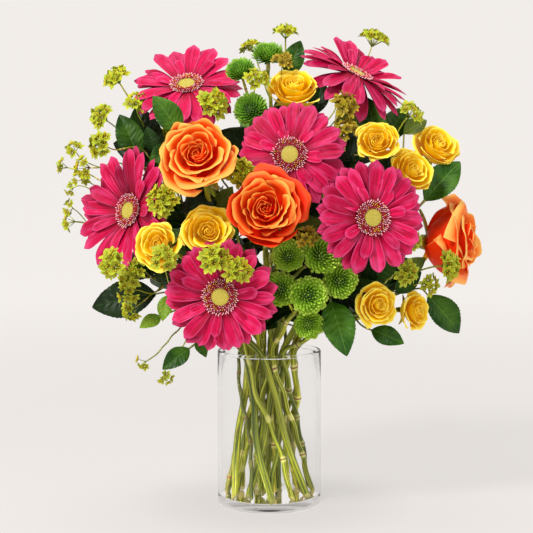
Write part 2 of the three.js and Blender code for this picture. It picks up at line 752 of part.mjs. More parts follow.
// A broad leaf: oval with a drawn-out tip, a fold along its rib, a slight arch and a waved edge
function leafBlade(length, seed) {
  const half = length * 0.29;
  return solid(blade(4, 4, (t, across, through) => {
    const along = t + 0.06 * Math.sin(2 * Math.PI * t);
    const outline = t > 0 && t < 1 ? Math.sin(Math.PI * along ** 0.85) ** 0.8 : 0;
    const wave = 0.05 * length * Math.sin(5 * along + 3 * across + seed);
    const lift = leafArch(length, along) + Math.abs(across) * outline * (0.07 * length + wave);
    return [across * half * outline, along * (length + 3) - 3, lift + (through * leafThickness) / 2];
  }));
}

// Gives a head its route: the plant's own stem for its first head, and a branch for each of the rest
function layOut(plant, head, i, radii, end, arriving) {
  if (i === 0) plant.route = leaderRoute(plant, radii[0], end, arriving);
  else head.route = branchRoute(plant.route, head.from, radii[1], end, arriving);
}

for (const flower of gerberas) {
  const { radius, cup } = flower;
  const frame = headFrame(flower.at, flower.faces);
  block(flower.name, frame, [radius, radius, 9 + cup * 0.4], cup * 0.25);
  flower.route = leaderRoute(flower, gerberaStalk, ahead(frame, calyxTop - calyxDepth), facing(frame));
  flower.frame = frame;
}

for (const flower of roses) {
  const { radius } = flower;
  const frame = headFrame(flower.at, flower.faces);
  block(flower.name, frame, [radius, radius, radius * 0.5], -0.15 * radius);
  flower.route = leaderRoute(flower, roseStalk[0], ahead(frame, -roseBack * radius), facing(frame));
  flower.frame = frame;
}

for (const spray of roseSprays) {
  spray.heads.forEach((head, i) => {
    const { radius } = head;
    const frame = headFrame(head.at, head.faces);
    block(spray.name, frame, [radius, radius, radius * 0.55], -0.15 * radius);
    const end = ahead(frame, -roseBack * radius);
    layOut(spray, head, i, [sprayStalk[0], sprayBranch[0]], end, facing(frame));
    head.frame = frame;
  });
}

for (const spray of mumSprays) {
  spray.heads.forEach((head, i) => {
    const { radius } = head;
    const frame = headFrame(head.at, head.faces);
    block(spray.name, frame, [radius, radius, radius * 0.7]);
    layOut(spray, head, i, [mumStalk[0], sprayBranch[0]], ahead(frame, -0.3 * radius), facing(frame));
    head.frame = frame;
  });
}

for (const spray of bupleurumSprays) {
  spray.umbels.forEach((head, i) => {
    const frame = headFrame(head.at, head.faces);
    block(spray.name, frame, [umbelReach + 3, umbelReach + 3, 7], 7);
    layOut(spray, head, i, [umbelStalk[0], umbelBranch[0]], ahead(frame, 0), facing(frame));
    head.frame = frame;
  });
}

for (const spray of leafSprays) {
  spray.leaves.forEach((leaf, i) => {
    const base = new THREE.Vector3(...leaf.base);
    const length = base.distanceTo(new THREE.Vector3(...leaf.tip));
    const frame = leafFrame(leaf);
    const middle = frame.clone().multiply(new THREE.Matrix4().makeTranslation(0, length / 2, 0));
    block(spray.name, middle, [length * 0.3, length / 2, 5], length * 0.08);
    const along = new THREE.Vector3().setFromMatrixColumn(frame, 1);
    layOut(spray, leaf, i, [leafStalk[0], leafBranch[0]], base, along);
    leaf.frame = frame;
    leaf.length = length;
  });
}

bendClear();

addMesh("vase", vaseSolid(), finishes.glass);
addMesh("water", waterSolid(), finishes.water);

gerberas.forEach((flower, i) => {
  addMesh(flower.name + "_petals", gerberaRays(flower, 17 * i + 3), finishes.pinkPetal, flower.frame);
  addMesh(flower.name + "_eye", gerberaEye(), finishes.gerberaEye, flower.frame);
  addMesh(flower.name + "_stem", gerberaStem(flower), finishes.stemGreen);
});

for (const flower of roses) {
  const bloom = roseBloom(flower.radius, roseWhorls);
  const hip = roseHip(flower.radius).transform(flower.frame.elements);
  addMesh(flower.name + "_bloom", bloom, finishes.orangePetal, flower.frame);
  addMesh(flower.name + "_stem", hip.add(taperedStem(flower.route, roseStalk)), finishes.stemGreen);
}

for (const spray of roseSprays) {
  const bodies = [taperedStem(spray.route, sprayStalk)];
  for (const head of spray.heads) {
    addMesh(head.name, roseBloom(head.radius, sprayRoseWhorls), finishes.yellowPetal, head.frame);
    bodies.push(roseHip(head.radius).transform(head.frame.elements));
    if (head.route) bodies.push(taperedStem(head.route, sprayBranch, 4));
  }
  addMesh(spray.name, wasm.Manifold.union(bodies), finishes.stemGreen);
}

for (const spray of mumSprays) {
  const bodies = [taperedStem(spray.route, mumStalk)];
  for (const head of spray.heads) {
    bodies.push(mumHead(head.radius).transform(head.frame.elements));
    if (head.route) bodies.push(taperedStem(head.route, sprayBranch, 3));
  }
  addMesh(spray.name, wasm.Manifold.union(bodies), finishes.mumGreen);
}

bupleurumSprays.forEach((spray, k) => {
  const bodies = [taperedStem(spray.route, umbelStalk)];
  spray.umbels.forEach((head, i) => {
    bodies.push(umbel(head, head.route ?? spray.route, 7 * k + i));
    if (head.route) bodies.push(taperedStem(head.route, umbelBranch, 3));
  });
  addMesh(spray.name, wasm.Manifold.union(bodies), finishes.umbelGreen);
});

leafSprays.forEach((spray, k) => {
  const bodies = [taperedStem(spray.route, leafStalk)];
  spray.leaves.forEach((leaf, i) => {
    bodies.push(leafBlade(leaf.length, 5 * k + i).transform(leaf.frame.elements));
    if (leaf.route) bodies.push(taperedStem(leaf.route, leafBranch, 3));
  });
  addMesh(spray.name, wasm.Manifold.union(bodies), finishes.leafGreen);
});

export default root;
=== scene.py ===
# A bouquet of gerberas, roses, button mums, bupleurum and leaves in a clear glass cylinder vase.
# Lengths in the tables are millimetres, in the part's own frame; the meshes, the room, the lights and the
# camera are in metres.
import math

import bpy
import numpy as np
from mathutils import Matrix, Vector


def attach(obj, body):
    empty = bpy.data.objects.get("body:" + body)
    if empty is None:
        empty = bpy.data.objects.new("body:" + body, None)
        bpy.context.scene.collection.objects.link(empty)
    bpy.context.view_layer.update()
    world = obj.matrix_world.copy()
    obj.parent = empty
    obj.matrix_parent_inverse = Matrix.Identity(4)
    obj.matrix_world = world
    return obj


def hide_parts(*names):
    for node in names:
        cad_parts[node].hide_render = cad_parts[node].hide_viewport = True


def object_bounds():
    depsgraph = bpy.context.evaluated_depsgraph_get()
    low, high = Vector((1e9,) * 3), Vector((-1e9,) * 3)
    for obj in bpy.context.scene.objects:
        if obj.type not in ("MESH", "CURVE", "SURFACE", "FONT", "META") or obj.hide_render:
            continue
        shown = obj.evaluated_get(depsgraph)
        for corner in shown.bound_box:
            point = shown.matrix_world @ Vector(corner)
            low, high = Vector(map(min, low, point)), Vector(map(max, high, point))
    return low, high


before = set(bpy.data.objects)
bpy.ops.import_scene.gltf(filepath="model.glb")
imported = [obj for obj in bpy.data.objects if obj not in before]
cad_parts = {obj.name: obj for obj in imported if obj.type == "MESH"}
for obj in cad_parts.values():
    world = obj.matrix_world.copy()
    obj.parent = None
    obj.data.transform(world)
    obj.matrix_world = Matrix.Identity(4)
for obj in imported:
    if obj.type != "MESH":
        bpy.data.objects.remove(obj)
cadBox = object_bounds()
mm = 0.001
goldenAngle = math.radians(137.508)  # the turn from one floret to the next in a flower's heart
print("frame loaded:", len(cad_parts), "nodes")


def chance(i, k):
    # the same number from 0 to 1 for the same two whole numbers: the fraction of a large sine
    wave = np.sin(np.asarray(i) * 12.9898 + k * 78.233) * 43758.5453
    return wave - np.floor(wave)


def unit(v):
    # every vector divided by its length
    v = np.asarray(v, float)
    return v / np.maximum(np.linalg.norm(v, axis=-1, keepdims=True), 1e-9)


def stacked(x, y, z):
    # three arrays or numbers, spread to one shape, as the x, y and z of one array
    return np.stack(np.broadcast_arrays(x, y, z), -1)


def alongAcross(rows, cols):
    # a grid's two parameters: v from 0 to 1 along its rows, u from -1 to 1 across its columns
    return np.linspace(0, 1, rows)[None, :, None], np.linspace(-1, 1, cols)[None, None, :]


def roundAngles(count):
    # the angles of count equal steps round a circle, from 0
    return np.arange(count) / count * 2 * math.pi


def headFrame(at, faces):
    # a matrix whose columns are the axes, and the origin: Z is the way the head faces, X is level
    z = unit(faces)
    x = unit(np.cross([0, 0, 1], z))
    return np.column_stack([x, np.cross(z, x), z]), np.asarray(at, float)


def leafFrame(base, tip, side):
    # the same for a leaf: Y runs from base to tip, Z is the side that the leaf shows
    y = unit(np.subtract(tip, base))
    z = np.asarray(side, float)
    z = unit(z - y * (z @ y))
    return np.column_stack([np.cross(y, z), y, z]), np.asarray(base, float)


def turnedAboutZ(points, angles):
    # points (n, ..., 3) turned by one angle for each n
    shape = (-1,) + (1,) * (points.ndim - 2)
    c, s = np.cos(angles).reshape(shape), np.sin(angles).reshape(shape)
    x, y, z = points[..., 0], points[..., 1], points[..., 2]
    return np.stack([x * c - y * s, x * s + y * c, z], -1)


def skin(mid, half, place, tone):
    # A thin closed blade for each of n grids. mid (n, rows, columns, 3) is its middle surface, half is
    # half its thickness, nought at the rim. Front = mid + normal * half, back = mid - normal * half,
    # and the two share the rim. place is (across, along, seed), and tone is (side, depth, extra),
    # where side becomes 0 on the back.
    n, rows, cols, _ = mid.shape
    normal = unit(np.cross(np.gradient(mid, axis=1), np.gradient(mid, axis=2)))
    half = np.broadcast_to(half, (n, rows, cols))[..., None]
    front = mid + normal * half
    back = (mid - normal * half)[:, 1:-1, 1:-1]
    inner = (rows - 2) * (cols - 2)
    each = rows * cols + inner
    upper = np.arange(rows * cols).reshape(rows, cols)
    lower = upper.copy()
    lower[1:-1, 1:-1] = rows * cols + np.arange(inner).reshape(rows - 2, cols - 2)

    def triangles(g, flip):
        a, b, c, d = g[:-1, :-1].ravel(), g[1:, :-1].ravel(), g[1:, 1:].ravel(), g[:-1, 1:].ravel()
        faces = np.concatenate([np.stack([a, b, c], 1), np.stack([a, c, d], 1)])
        return faces[:, ::-1] if flip else faces

    faces = np.concatenate([triangles(upper, False), triangles(lower, True)])
    faces = (faces[None] + (np.arange(n) * each)[:, None, None]).reshape(-1, 3)
    rim = np.ones((rows, cols), bool)
    rim[1:-1, 1:-1] = False
    rim = np.concatenate([rim.ravel(), np.zeros(inner, bool)])

    def gathered(values):
        values = np.broadcast_to(values, (n, rows, cols, 3))
        return np.concatenate([values.reshape(n, -1, 3), values[:, 1:-1, 1:-1].reshape(n, -1, 3)], 1)

    tones = gathered(tone).copy()
    tones[:, rows * cols:, 0] = 0
    points = np.concatenate([front.reshape(n, -1, 3), back.reshape(n, -1, 3)], 1)
    return {"points": points.reshape(-1, 3), "faces": faces, "rim": np.tile(rim, n),
            "place": gathered(place).reshape(-1, 3), "tone": tones.reshape(-1, 3)}


def tube(rings, place, tone):
    # Closed tubes: rings (n, rows, columns, 3) go round and are joined row to row, and the first and
    # last rows are closed by a fan to their middle. Each row goes round anticlockwise, seen from the
    # last row's end, so that the faces point outwards.
    n, rows, cols, _ = rings.shape
    each = rows * cols + 2
    grid = np.arange(rows * cols).reshape(rows, cols)
    right = np.roll(grid, -1, axis=1)
    a, b, c, d = grid[:-1].ravel(), right[:-1].ravel(), right[1:].ravel(), grid[1:].ravel()
    first = np.stack([np.full(cols, rows * cols), right[0], grid[0]], 1)
    last = np.stack([np.full(cols, rows * cols + 1), grid[-1], right[-1]], 1)
    faces = np.concatenate([np.stack([a, b, c], 1), np.stack([a, c, d], 1), first, last])
    faces = (faces[None] + (np.arange(n) * each)[:, None, None]).reshape(-1, 3)

    def gathered(values):
        values = np.broadcast_to(values, (n, rows, cols, 3))
        ends = np.stack([values[:, 0].mean(1), values[:, -1].mean(1)], 1)
        return np.concatenate([values.reshape(n, -1, 3), ends], 1).reshape(-1, 3)

    return {"points": gathered(rings), "faces": faces, "rim": np.zeros(n * each, bool),
            "place": gathered(place), "tone": gathered(tone)}


def lathe(profile, sides, place=(0, 0, 0), tone=(0, 0, 0)):
    # A closed turned shape. profile is (radius, height) from its underside to its top, and each of
    # its points becomes a ring: (radius * cos(angle), radius * sin(angle), height).
    profile = np.asarray(profile, float)
    out, angle = profile[:, :1], roundAngles(sides)
    return tube(stacked(out * np.cos(angle), out * np.sin(angle), profile[:, 1:])[None], place, tone)


def moved(parts, where):
    # every point becomes turn * point + at
    turn, at = where
    return [dict(part, points=part["points"] @ turn.T + at) for part in parts]


def joined(parts):
    # the parts' arrays end to end, with each one's faces counted on from the parts before it
    start, faces = 0, []
    for part in parts:
        faces.append(part["faces"] + start)
        start += len(part["points"])
    out = {key: np.concatenate([part[key] for part in parts]) for key in ("points", "rim", "place", "tone")}
    out["faces"] = np.concatenate(faces)
    return out


def addPiece(name, parts, finish, replaced=()):
    # One mesh piece in metres, with its attributes, riding on the part's body
    whole = joined(parts)
    points, faces = whole["points"] * mm, whole["faces"]
    mesh = bpy.data.meshes.new(name)
    mesh.vertices.add(len(points))
    mesh.vertices.foreach_set("co", points.astype(np.float32).ravel())
    mesh.loops.add(faces.size)
    mesh.loops.foreach_set("vertex_index", faces.astype(np.int32).ravel())
    mesh.polygons.add(len(faces))
    mesh.polygons.foreach_set("loop_start", np.arange(0, faces.size, 3, dtype=np.int32))
    mesh.update(calc_edges=True)
    mesh.polygons.foreach_set("use_smooth", np.ones(len(faces), bool))
    for key in ("place", "tone"):
        layer = mesh.attributes.new(key, "FLOAT_VECTOR", "POINT")
        layer.data.foreach_set("vector", whole[key].astype(np.float32).ravel())
    if whole["rim"].any():
        ends = np.empty(len(mesh.edges) * 2, np.int32)
        mesh.edges.foreach_get("vertices", ends)
        ends = whole["rim"][ends.reshape(-1, 2)]
        sharp = mesh.attributes.new("sharp_edge", "BOOLEAN", "EDGE")
        sharp.data.foreach_set("value", ends.all(1))
    mesh.materials.append(finish)
    piece = bpy.data.objects.new(name, mesh)
    bpy.context.scene.collection.objects.link(piece)
    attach(piece, "root")
    if replaced:
        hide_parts(*replaced)


def colour(r, g, b):
    # a colour given as on screen, 0 to 255, made linear by the screen's own curve
    c = np.array([r, g, b]) / 255
    c = np.where(c <= 0.04045, c / 12.92, ((c + 0.055) / 1.055) ** 2.4)
    return (*c, 1.0)


def ready(look):
    # a look with all its colours made linear
    return {key: colour(*value) if isinstance(value, tuple) else value for key, value in look.items()}


class Tree:
    # A little helper that adds nodes and links to a node tree
    def __init__(self, tree):
        self.tree = tree

    def link(self, source, target):
        self.tree.links.new(source, target)

    def add(self, kind, inputs=None, **settings):
        made = self.tree.nodes.new(kind)
        for key, value in settings.items():
            setattr(made, key, value)
        for key, value in (inputs or {}).items():
            if isinstance(value, bpy.types.NodeSocket):
                self.link(value, made.inputs[key])
            else:
                made.inputs[key].default_value = value
        return made

    def math(self, operation, a, b=0.0, c=0.0):
        return self.add("ShaderNodeMath", {0: a, 1: b, 2: c}, operation=operation).outputs[0]

    def mix(self, share, a, b):
        # 6 and 7 are the node's colour inputs, and 2 is its colour output
        return self.add("ShaderNodeMix", {0: share, 6: a, 7: b}, data_type="RGBA").outputs[2]

    def spread(self, value, low, high, to=(0.0, 1.0)):
        # from low to high the value goes smoothly from the first number of to to the second
        inputs = {"Value": value, "From Min": low, "From Max": high, "To Min": to[0], "To Max": to[1]}
        return self.add("ShaderNodeMapRange", inputs, interpolation_type="SMOOTHSTEP").outputs[0]

    def noise(self, vector, scale, detail, rough=0.5):
        inputs = {"Vector": vector, "Scale": scale, "Detail": detail, "Roughness": rough}
        return self.add("ShaderNodeTexNoise", inputs).outputs["Fac"]

    def vector(self, x, y, z):
        return self.add("ShaderNodeCombineXYZ", {"X": x, "Y": y, "Z": z}).outputs[0]

    def split(self, vector):
        return self.add("ShaderNodeSeparateXYZ", {0: vector}).outputs

    def attribute(self, name):
        return self.add("ShaderNodeAttribute", attribute_name=name).outputs["Vector"]

    def group(self, group, values):
        return self.add("ShaderNodeGroup", values, node_tree=group).outputs

    def varied(self, body, value, hue=0.5):
        inputs = {"Color": body, "Value": value, "Hue": hue}
        return self.add("ShaderNodeHueSaturation", inputs).outputs[0]

    def paint(self, shader, body, glow=0.0):
        # the skin's colour, and a painted glow of the same colour, standing in for light that shines through
        # from behind
        self.link(body, shader.inputs["Base Color"])
        if glow:
            self.link(body, shader.inputs["Emission Color"])
            shader.inputs["Emission Strength"].default_value = glow

    def relief(self, shader, height, strength, distance):
        bump = self.add("ShaderNodeBump", {"Strength": strength, "Distance": distance, "Height": height})
        self.link(bump.outputs[0], shader.inputs["Normal"])


def effect(name, ins, outs):
    # An empty shader node group with named inputs and outputs
    group = bpy.data.node_groups.new(name, "ShaderNodeTree")
    for label, kind, start in ins:
        socket = group.interface.new_socket(label, in_out="INPUT", socket_type=kind)
        if start is not None:
            socket.default_value = start
    for label, kind in outs:
        group.interface.new_socket(label, in_out="OUTPUT", socket_type=kind)
    t = Tree(group)
    return group, t, t.add("NodeGroupInput").outputs, t.add("NodeGroupOutput").inputs


floatKind, colourKind, vectorKind = "NodeSocketFloat", "NodeSocketColor", "NodeSocketVector"


def petalEffect():
    # Fine lengthwise streaks, a paler rim, a deeper root and slow patches, as a colour and a height
    ins = [("Place", vectorKind, None), ("Main", colourKind, None), ("Deep", colourKind, None),
           ("Pale", colourKind, None), ("Root", floatKind, 0.5), ("Rim", floatKind, 0.5),
           ("Streak", floatKind, 0.4), ("Fineness", floatKind, 9.0), ("Edge", floatKind, 0.85)]
    group, t, given, out = effect("petalStreaks", ins, [("Colour", colourKind), ("Height", floatKind)])
    across, along, seed = t.split(given["Place"])
    shift = t.math("MULTIPLY", seed, 57.0)
    close = t.vector(t.math("MULTIPLY", across, given["Fineness"]), t.math("MULTIPLY", along, 1.1), shift)
    fine = t.noise(close, 1.0, 4.0, 0.6)
    wide = t.vector(t.math("MULTIPLY", across, 1.2), t.math("MULTIPLY", along, 2.2), shift)
    patch = t.noise(wide, 1.0, 2.0)
    streak = t.math("MULTIPLY", t.spread(fine, 0.38, 0.66), given["Streak"])
    body = t.mix(streak, given["Main"], given["Deep"])
    body = t.mix(t.spread(patch, 0.45, 0.8, (0.0, 0.35)), body, given["Pale"])
    root = t.math("MULTIPLY", t.spread(along, 0.5, 0.0), given["Root"])
    body = t.mix(root, body, given["Deep"])
    side = t.spread(t.math("ABSOLUTE", across), given["Edge"], 1.0)
    tip = t.spread(along, given["Edge"], 1.0)
    rim = t.math("MULTIPLY", t.math("MAXIMUM", side, tip), given["Rim"])
    t.link(t.mix(rim, body, given["Pale"]), out["Colour"])
    t.link(fine, out["Height"])
    return group


def veinEffect():
    # A pale middle rib and side veins that leave it at a slant: a mask and a height
    ins = [("Place", vectorKind, None), ("Veins", floatKind, 8.0), ("Slant", floatKind, 0.22)]
    group, t, given, out = effect("leafVeins", ins, [("Mask", floatKind), ("Height", floatKind)])
    across, along, _ = t.split(given["Place"])
    away = t.math("ABSOLUTE", across)
    slant = t.math("MULTIPLY", away, given["Slant"])
    place = t.math("MULTIPLY", t.math("SUBTRACT", along, slant), given["Veins"])
    wave = t.math("PINGPONG", place, 0.5)
    side = t.math("MULTIPLY", t.spread(wave, 0.09, 0.0), t.spread(away, 0.95, 0.3))
    rib = t.spread(away, 0.075, 0.02)
    t.link(t.math("MAXIMUM", rib, t.math("MULTIPLY", side, 0.6)), out["Mask"])
    t.link(t.math("SUBTRACT", t.math("MULTIPLY", wave, 1.3), rib), out["Height"])
    return group


def mottleEffect():
    # Soft patches over the whole object, from Object coordinates, as a mask
    ins = [("Scale", floatKind, 60.0), ("Low", floatKind, 0.4), ("High", floatKind, 0.7)]
    group, t, given, out = effect("mottle", ins, [("Mask", floatKind)])
    where = t.add("ShaderNodeTexCoord").outputs["Object"]
    patch = t.noise(where, given["Scale"], 3.0, 0.55)
    t.link(t.spread(patch, given["Low"], given["High"]), out["Mask"])
    return group


petalStreaks, leafVeins, mottle = petalEffect(), veinEffect(), mottleEffect()


def startFinish(name, rough, specular=0.35, sheen=0.0):
    # A material, a helper for its nodes and its Principled shader
    material = bpy.data.materials.new(name)
    material.use_nodes = True
    shader = material.node_tree.nodes["Principled BSDF"]
    shader.inputs["Roughness"].default_value = rough
    shader.inputs["Specular IOR Level"].default_value = specular
    shader.inputs["Sheen Weight"].default_value = sheen
    shader.inputs["Sheen Roughness"].default_value = 0.4
    return material, Tree(material.node_tree), shader


def petalFinish(name, look):
    # Petal skin: streaks, rim and root, the back in its own colour, and painted shade towards the heart and
    # between the petals, partly their own deeper colour there
    look = ready(look)
    material, t, shader = startFinish(name, look["rough"], 0.16)
    place, tones = t.attribute("place"), t.split(t.attribute("tone"))
    parts = t.split(place)
    front = t.group(petalStreaks, {"Place": place, "Main": look["main"], "Deep": look["deep"],
                                   "Pale": look["pale"], "Root": look["root"], "Rim": look["rim"],
                                   "Streak": look["streak"], "Fineness": look["fineness"],
                                   "Edge": look["edge"]})
    back = t.mix(t.math("MULTIPLY", front["Height"], 0.8), look["back"], look["deep"])
    rimmed = t.mix(t.spread(parts[1], 0.9, 1.0, (0.0, look["rim"])), back, look["pale"])
    body = t.mix(tones[0], rimmed, front["Colour"])
    body = t.mix(t.spread(tones[2], 0.55, 0.95, (0.0, look["outer"])), body, look["outerColour"])
    # painted shade in the heart's depths, by the tone's depth, partly the petals' own deeper colour there
    body = t.mix(t.math("MULTIPLY", tones[1], look["heart"]), body, look["heartColour"])
    value = t.math("MULTIPLY_ADD", parts[2], look["vary"], 1.0 - look["vary"] / 2)
    t.paint(shader, t.varied(body, value), look["through"])
    t.relief(shader, front["Height"], look["bump"], 0.0006)
    return material


# What the petals share. root, rim, streak and heart are how strongly the deep, the pale, the deep again
# and the heart's colour show, where the heart's colour is painted shade in the depths between the petals,
# partly their own deeper colour there, and edge is where the rim begins. outer is how far the outermost
# petals take another colour, and through is how strongly they give off a painted glow of their own colour,
# standing in for light shining through them from behind.
petalLook = {
    "rough": 0.5, "edge": 0.78, "fineness": 4.0, "streak": 0.5, "vary": 0.12, "bump": 0.3, "outer": 0.0,
    "outerColour": (255, 255, 255)}
pinkPetal = petalFinish("pinkPetal", dict(
    petalLook, main=(216, 4, 82), deep=(136, 0, 16), pale=(240, 96, 160), back=(196, 24, 92), root=0.7,
    rim=0.4, streak=0.8, fineness=6.0, heart=0.98, heartColour=(124, 0, 12), vary=0.3, bump=0.9,
    through=0.02))
orangePetal = petalFinish("orangePetal", dict(
    petalLook, main=(250, 112, 20), deep=(236, 54, 6), pale=(255, 206, 96), back=(246, 88, 24), root=0.9,
    rim=0.75, heart=0.95, heartColour=(222, 16, 2), edge=0.76, outer=0.15, outerColour=(250, 96, 40),
    through=0.07))
redOrangePetal = petalFinish("redOrangePetal", dict(
    petalLook, main=(248, 98, 16), deep=(232, 38, 6), pale=(255, 194, 84), back=(226, 24, 8), root=0.95,
    rim=0.72, heart=0.95, heartColour=(214, 8, 2), outer=0.85, outerColour=(228, 30, 8), through=0.06))
peachPetal = petalFinish("peachPetal", dict(
    petalLook, main=(252, 134, 34), deep=(242, 84, 14), pale=(255, 210, 112), back=(228, 30, 6), root=0.8,
    rim=0.9, streak=0.4, heart=0.8, heartColour=(230, 40, 4), edge=0.85, outer=0.3,
    outerColour=(240, 58, 10), through=0.08))
yellowPetal = petalFinish("yellowPetal", dict(
    petalLook, main=(250, 214, 16), deep=(244, 194, 6), pale=(255, 242, 114), back=(246, 206, 18), root=0.6,
    rim=0.7, streak=0.45, heart=0.78, heartColour=(228, 160, 10), vary=0.1, through=0.08))


def eyeFinish(name, look):
    # A gerbera's florets by their ring, which runs from 0 at the middle to 1 outside: pale buds, then
    # pink and red tongues, a few with pollen. A floret's place is (height, ring, seed).
    look = ready(look)
    material, t, shader = startFinish(name, 0.6, sheen=0.1)
    height, ring, seed = t.split(t.attribute("place"))
    outer = t.spread(ring, 0.52, 0.58)
    tongue = t.mix(t.spread(seed, 0.36, 0.4), look["pink"], look["red"])
    tip = t.mix(t.spread(seed, 0.78, 0.81), tongue, look["pollen"])
    tip = t.mix(t.spread(ring, 0.88, 0.93, (0.0, 0.85)), tip, look["rim"])
    bud = t.mix(t.spread(seed, 0.5, 0.75), look["bud"], look["budShade"])
    bud = t.mix(t.spread(ring, 0.38, 0.54, (0.0, 0.75)), bud, look["budRing"])
    root = t.mix(outer, look["budRoot"], look["redRoot"])
    body = t.mix(t.spread(height, 0.4, 0.9), root, t.mix(outer, bud, tip))
    t.paint(shader, body, look["through"])
    return material


# through is a faint painted glow of the florets' own colour
eyeTints = eyeFinish("eyeTints", {
    "pink": (255, 178, 190), "red": (214, 8, 56), "pollen": (246, 176, 50), "rim": (255, 204, 214),
    "bud": (240, 236, 140), "budShade": (206, 194, 84), "budRing": (150, 132, 44), "budRoot": (182, 166, 62),
    "redRoot": (104, 0, 14), "through": 0.04})


def greenFinish(name, look):
    # Thin green parts: deep at the root, pale at the tip, patched and varied by each one's seed
    look = ready(look)
    material, t, shader = startFinish(name, look["rough"])
    parts, tones = t.split(t.attribute("place")), t.split(t.attribute("tone"))
    mask = t.group(mottle, {"Scale": look["patch"], "Low": 0.42, "High": 0.68})["Mask"]
    body = t.mix(t.spread(parts[1], 0.0, look["to"]), look["deep"], look["main"])
    body = t.mix(t.spread(parts[1], 0.7, 1.0, (0.0, look["tip"])), body, look["pale"])
    body = t.mix(t.math("MULTIPLY", mask, 0.35), body, look["other"])
    body = t.mix(t.math("MULTIPLY", tones[1], look["heart"]), body, look["heartColour"])
    t.paint(shader, t.varied(body, t.math("MULTIPLY_ADD", parts[2], 0.3, 0.85)))
    return material


# to is where the deep root ends, tip how pale the tip gets, and patch the fineness of the patches
mumLook = {"to": 0.55, "tip": 0.95, "patch": 90.0, "heart": 0.35, "rough": 0.5}
mumGreen = greenFinish("mumGreen", dict(
    mumLook, deep=(34, 78, 12), main=(148, 196, 50), pale=(228, 248, 110), other=(168, 210, 56),
    heartColour=(96, 166, 66)))
mumDeep = greenFinish("mumDeep", dict(
    mumLook, deep=(24, 64, 10), main=(112, 172, 46), pale=(188, 226, 92), other=(134, 188, 52),
    heartColour=(74, 140, 52)))
bractLook = {"to": 0.6, "tip": 0.5, "patch": 90.0}
bractGreen = greenFinish("bractGreen", dict(
    bractLook, deep=(86, 112, 18), main=(180, 192, 38), pale=(226, 224, 70), other=(96, 134, 26),
    heart=0.9, heartColour=(232, 190, 26), rough=0.55))
bractOlive = greenFinish("bractOlive", dict(
    bractLook, deep=(112, 96, 14), main=(184, 160, 30), pale=(212, 190, 52), other=(136, 144, 28),
    heart=0.8, heartColour=(156, 108, 20), rough=0.6))


def stalkFinish(name, look):
    # Stems: long streaks, brown specks and scars, darker joints, and a pale cut end.
    # place is (cosine round it, metres along it, sine round it); tone is (cut end, joint, seed)
    look = ready(look)
    material, t, shader = startFinish(name, 0.42, 0.5)
    across, along, up = t.split(t.attribute("place"))
    cut, joint, seed = t.split(t.attribute("tone"))
    shift = t.math("MULTIPLY", seed, 41.0)
    streak = t.noise(t.vector(across, up, t.math("MULTIPLY_ADD", along, 5.0, shift)), 2.6, 4.0, 0.6)
    spot = t.noise(t.vector(across, up, t.math("MULTIPLY_ADD", along, 60.0, shift)), 1.7, 3.0, 0.6)
    body = t.mix(t.spread(streak, 0.38, 0.64), look["deep"], look["main"])
    body = t.mix(t.spread(streak, 0.58, 0.72, (0.0, 0.6)), body, look["pale"])
    body = t.mix(t.spread(spot, 0.64, 0.74, (0.0, look["spots"])), body, look["brown"])
    body = t.mix(t.spread(joint, 0.1, 0.6, (0.0, 0.5)), body, look["pale"])
    body = t.mix(t.spread(joint, 0.7, 0.95, (0.0, 0.9)), body, look["brown"])
    body = t.mix(cut, body, look["cut"])
    value, hue = t.math("MULTIPLY_ADD", seed, -1.0, 1.8), t.math("MULTIPLY_ADD", seed, 0.034, 0.459)
    t.paint(shader, t.varied(body, value, hue))
    t.relief(shader, streak, 0.3, 0.0008)
    return material


stemGreen = stalkFinish("stemGreen", {
    "deep": (60, 82, 6), "main": (182, 196, 40), "pale": (240, 242, 150), "brown": (108, 44, 8),
    "cut": (204, 202, 110), "spots": 0.75})
twigBrown = stalkFinish("twigBrown", {
    "deep": (84, 96, 30), "main": (122, 134, 46), "pale": (166, 160, 82), "brown": (128, 70, 32),
    "cut": (180, 176, 104), "spots": 0.9})


def leafFinish(name, look):
    # Broad leaves: veins, patches, a paler back and a satin skin
    look = ready(look)
    material, t, shader = startFinish(name, 0.4, 0.2)
    place, tones = t.attribute("place"), t.split(t.attribute("tone"))
    veins = t.group(leafVeins, {"Place": place, "Veins": look["veins"], "Slant": 0.3})
    patch = t.group(mottle, {"Scale": 45.0, "Low": 0.35, "High": 0.7})["Mask"]
    body = t.mix(patch, look["main"], look["other"])
    body = t.mix(t.math("MULTIPLY", veins["Mask"], look["veinShow"]), body, look["vein"])
    body = t.mix(t.math("SUBTRACT", 1.0, tones[0]), body, look["back"])
    t.paint(shader, t.varied(body, t.math("MULTIPLY_ADD", t.split(place)[2], 0.5, 0.75)))
    t.link(t.math("MULTIPLY_ADD", patch, 0.16, 0.36), shader.inputs["Roughness"])
    t.relief(shader, veins["Height"], 0.35, 0.0012)
    return material


leafGreen = leafFinish("leafGreen", {
    "main": (30, 70, 12), "other": (66, 108, 20), "vein": (100, 142, 50), "back": (88, 124, 50),
    "veins": 8.0, "veinShow": 0.45})
# the darkest leaves: partly the deep green of the leaves inside the bouquet, partly painted shade where
# little light reaches them
leafDarkShaded = leafFinish("leafDarkShaded", {
    "main": (15, 34, 6), "other": (27, 54, 10), "vein": (54, 88, 30), "back": (46, 72, 26),
    "veins": 7.0, "veinShow": 0.35})
leafLime = leafFinish("leafLime", {
    "main": (106, 142, 34), "other": (132, 164, 48), "vein": (166, 186, 84), "back": (128, 154, 66),
    "veins": 6.0, "veinShow": 0.35})
leafOlive = leafFinish("leafOlive", {
    "main": (70, 86, 18), "other": (98, 112, 28), "vein": (130, 138, 56), "back": (104, 118, 48),
    "veins": 6.0, "veinShow": 0.35})
leafFinishes = [leafGreen, leafDarkShaded, leafOlive, leafLime]


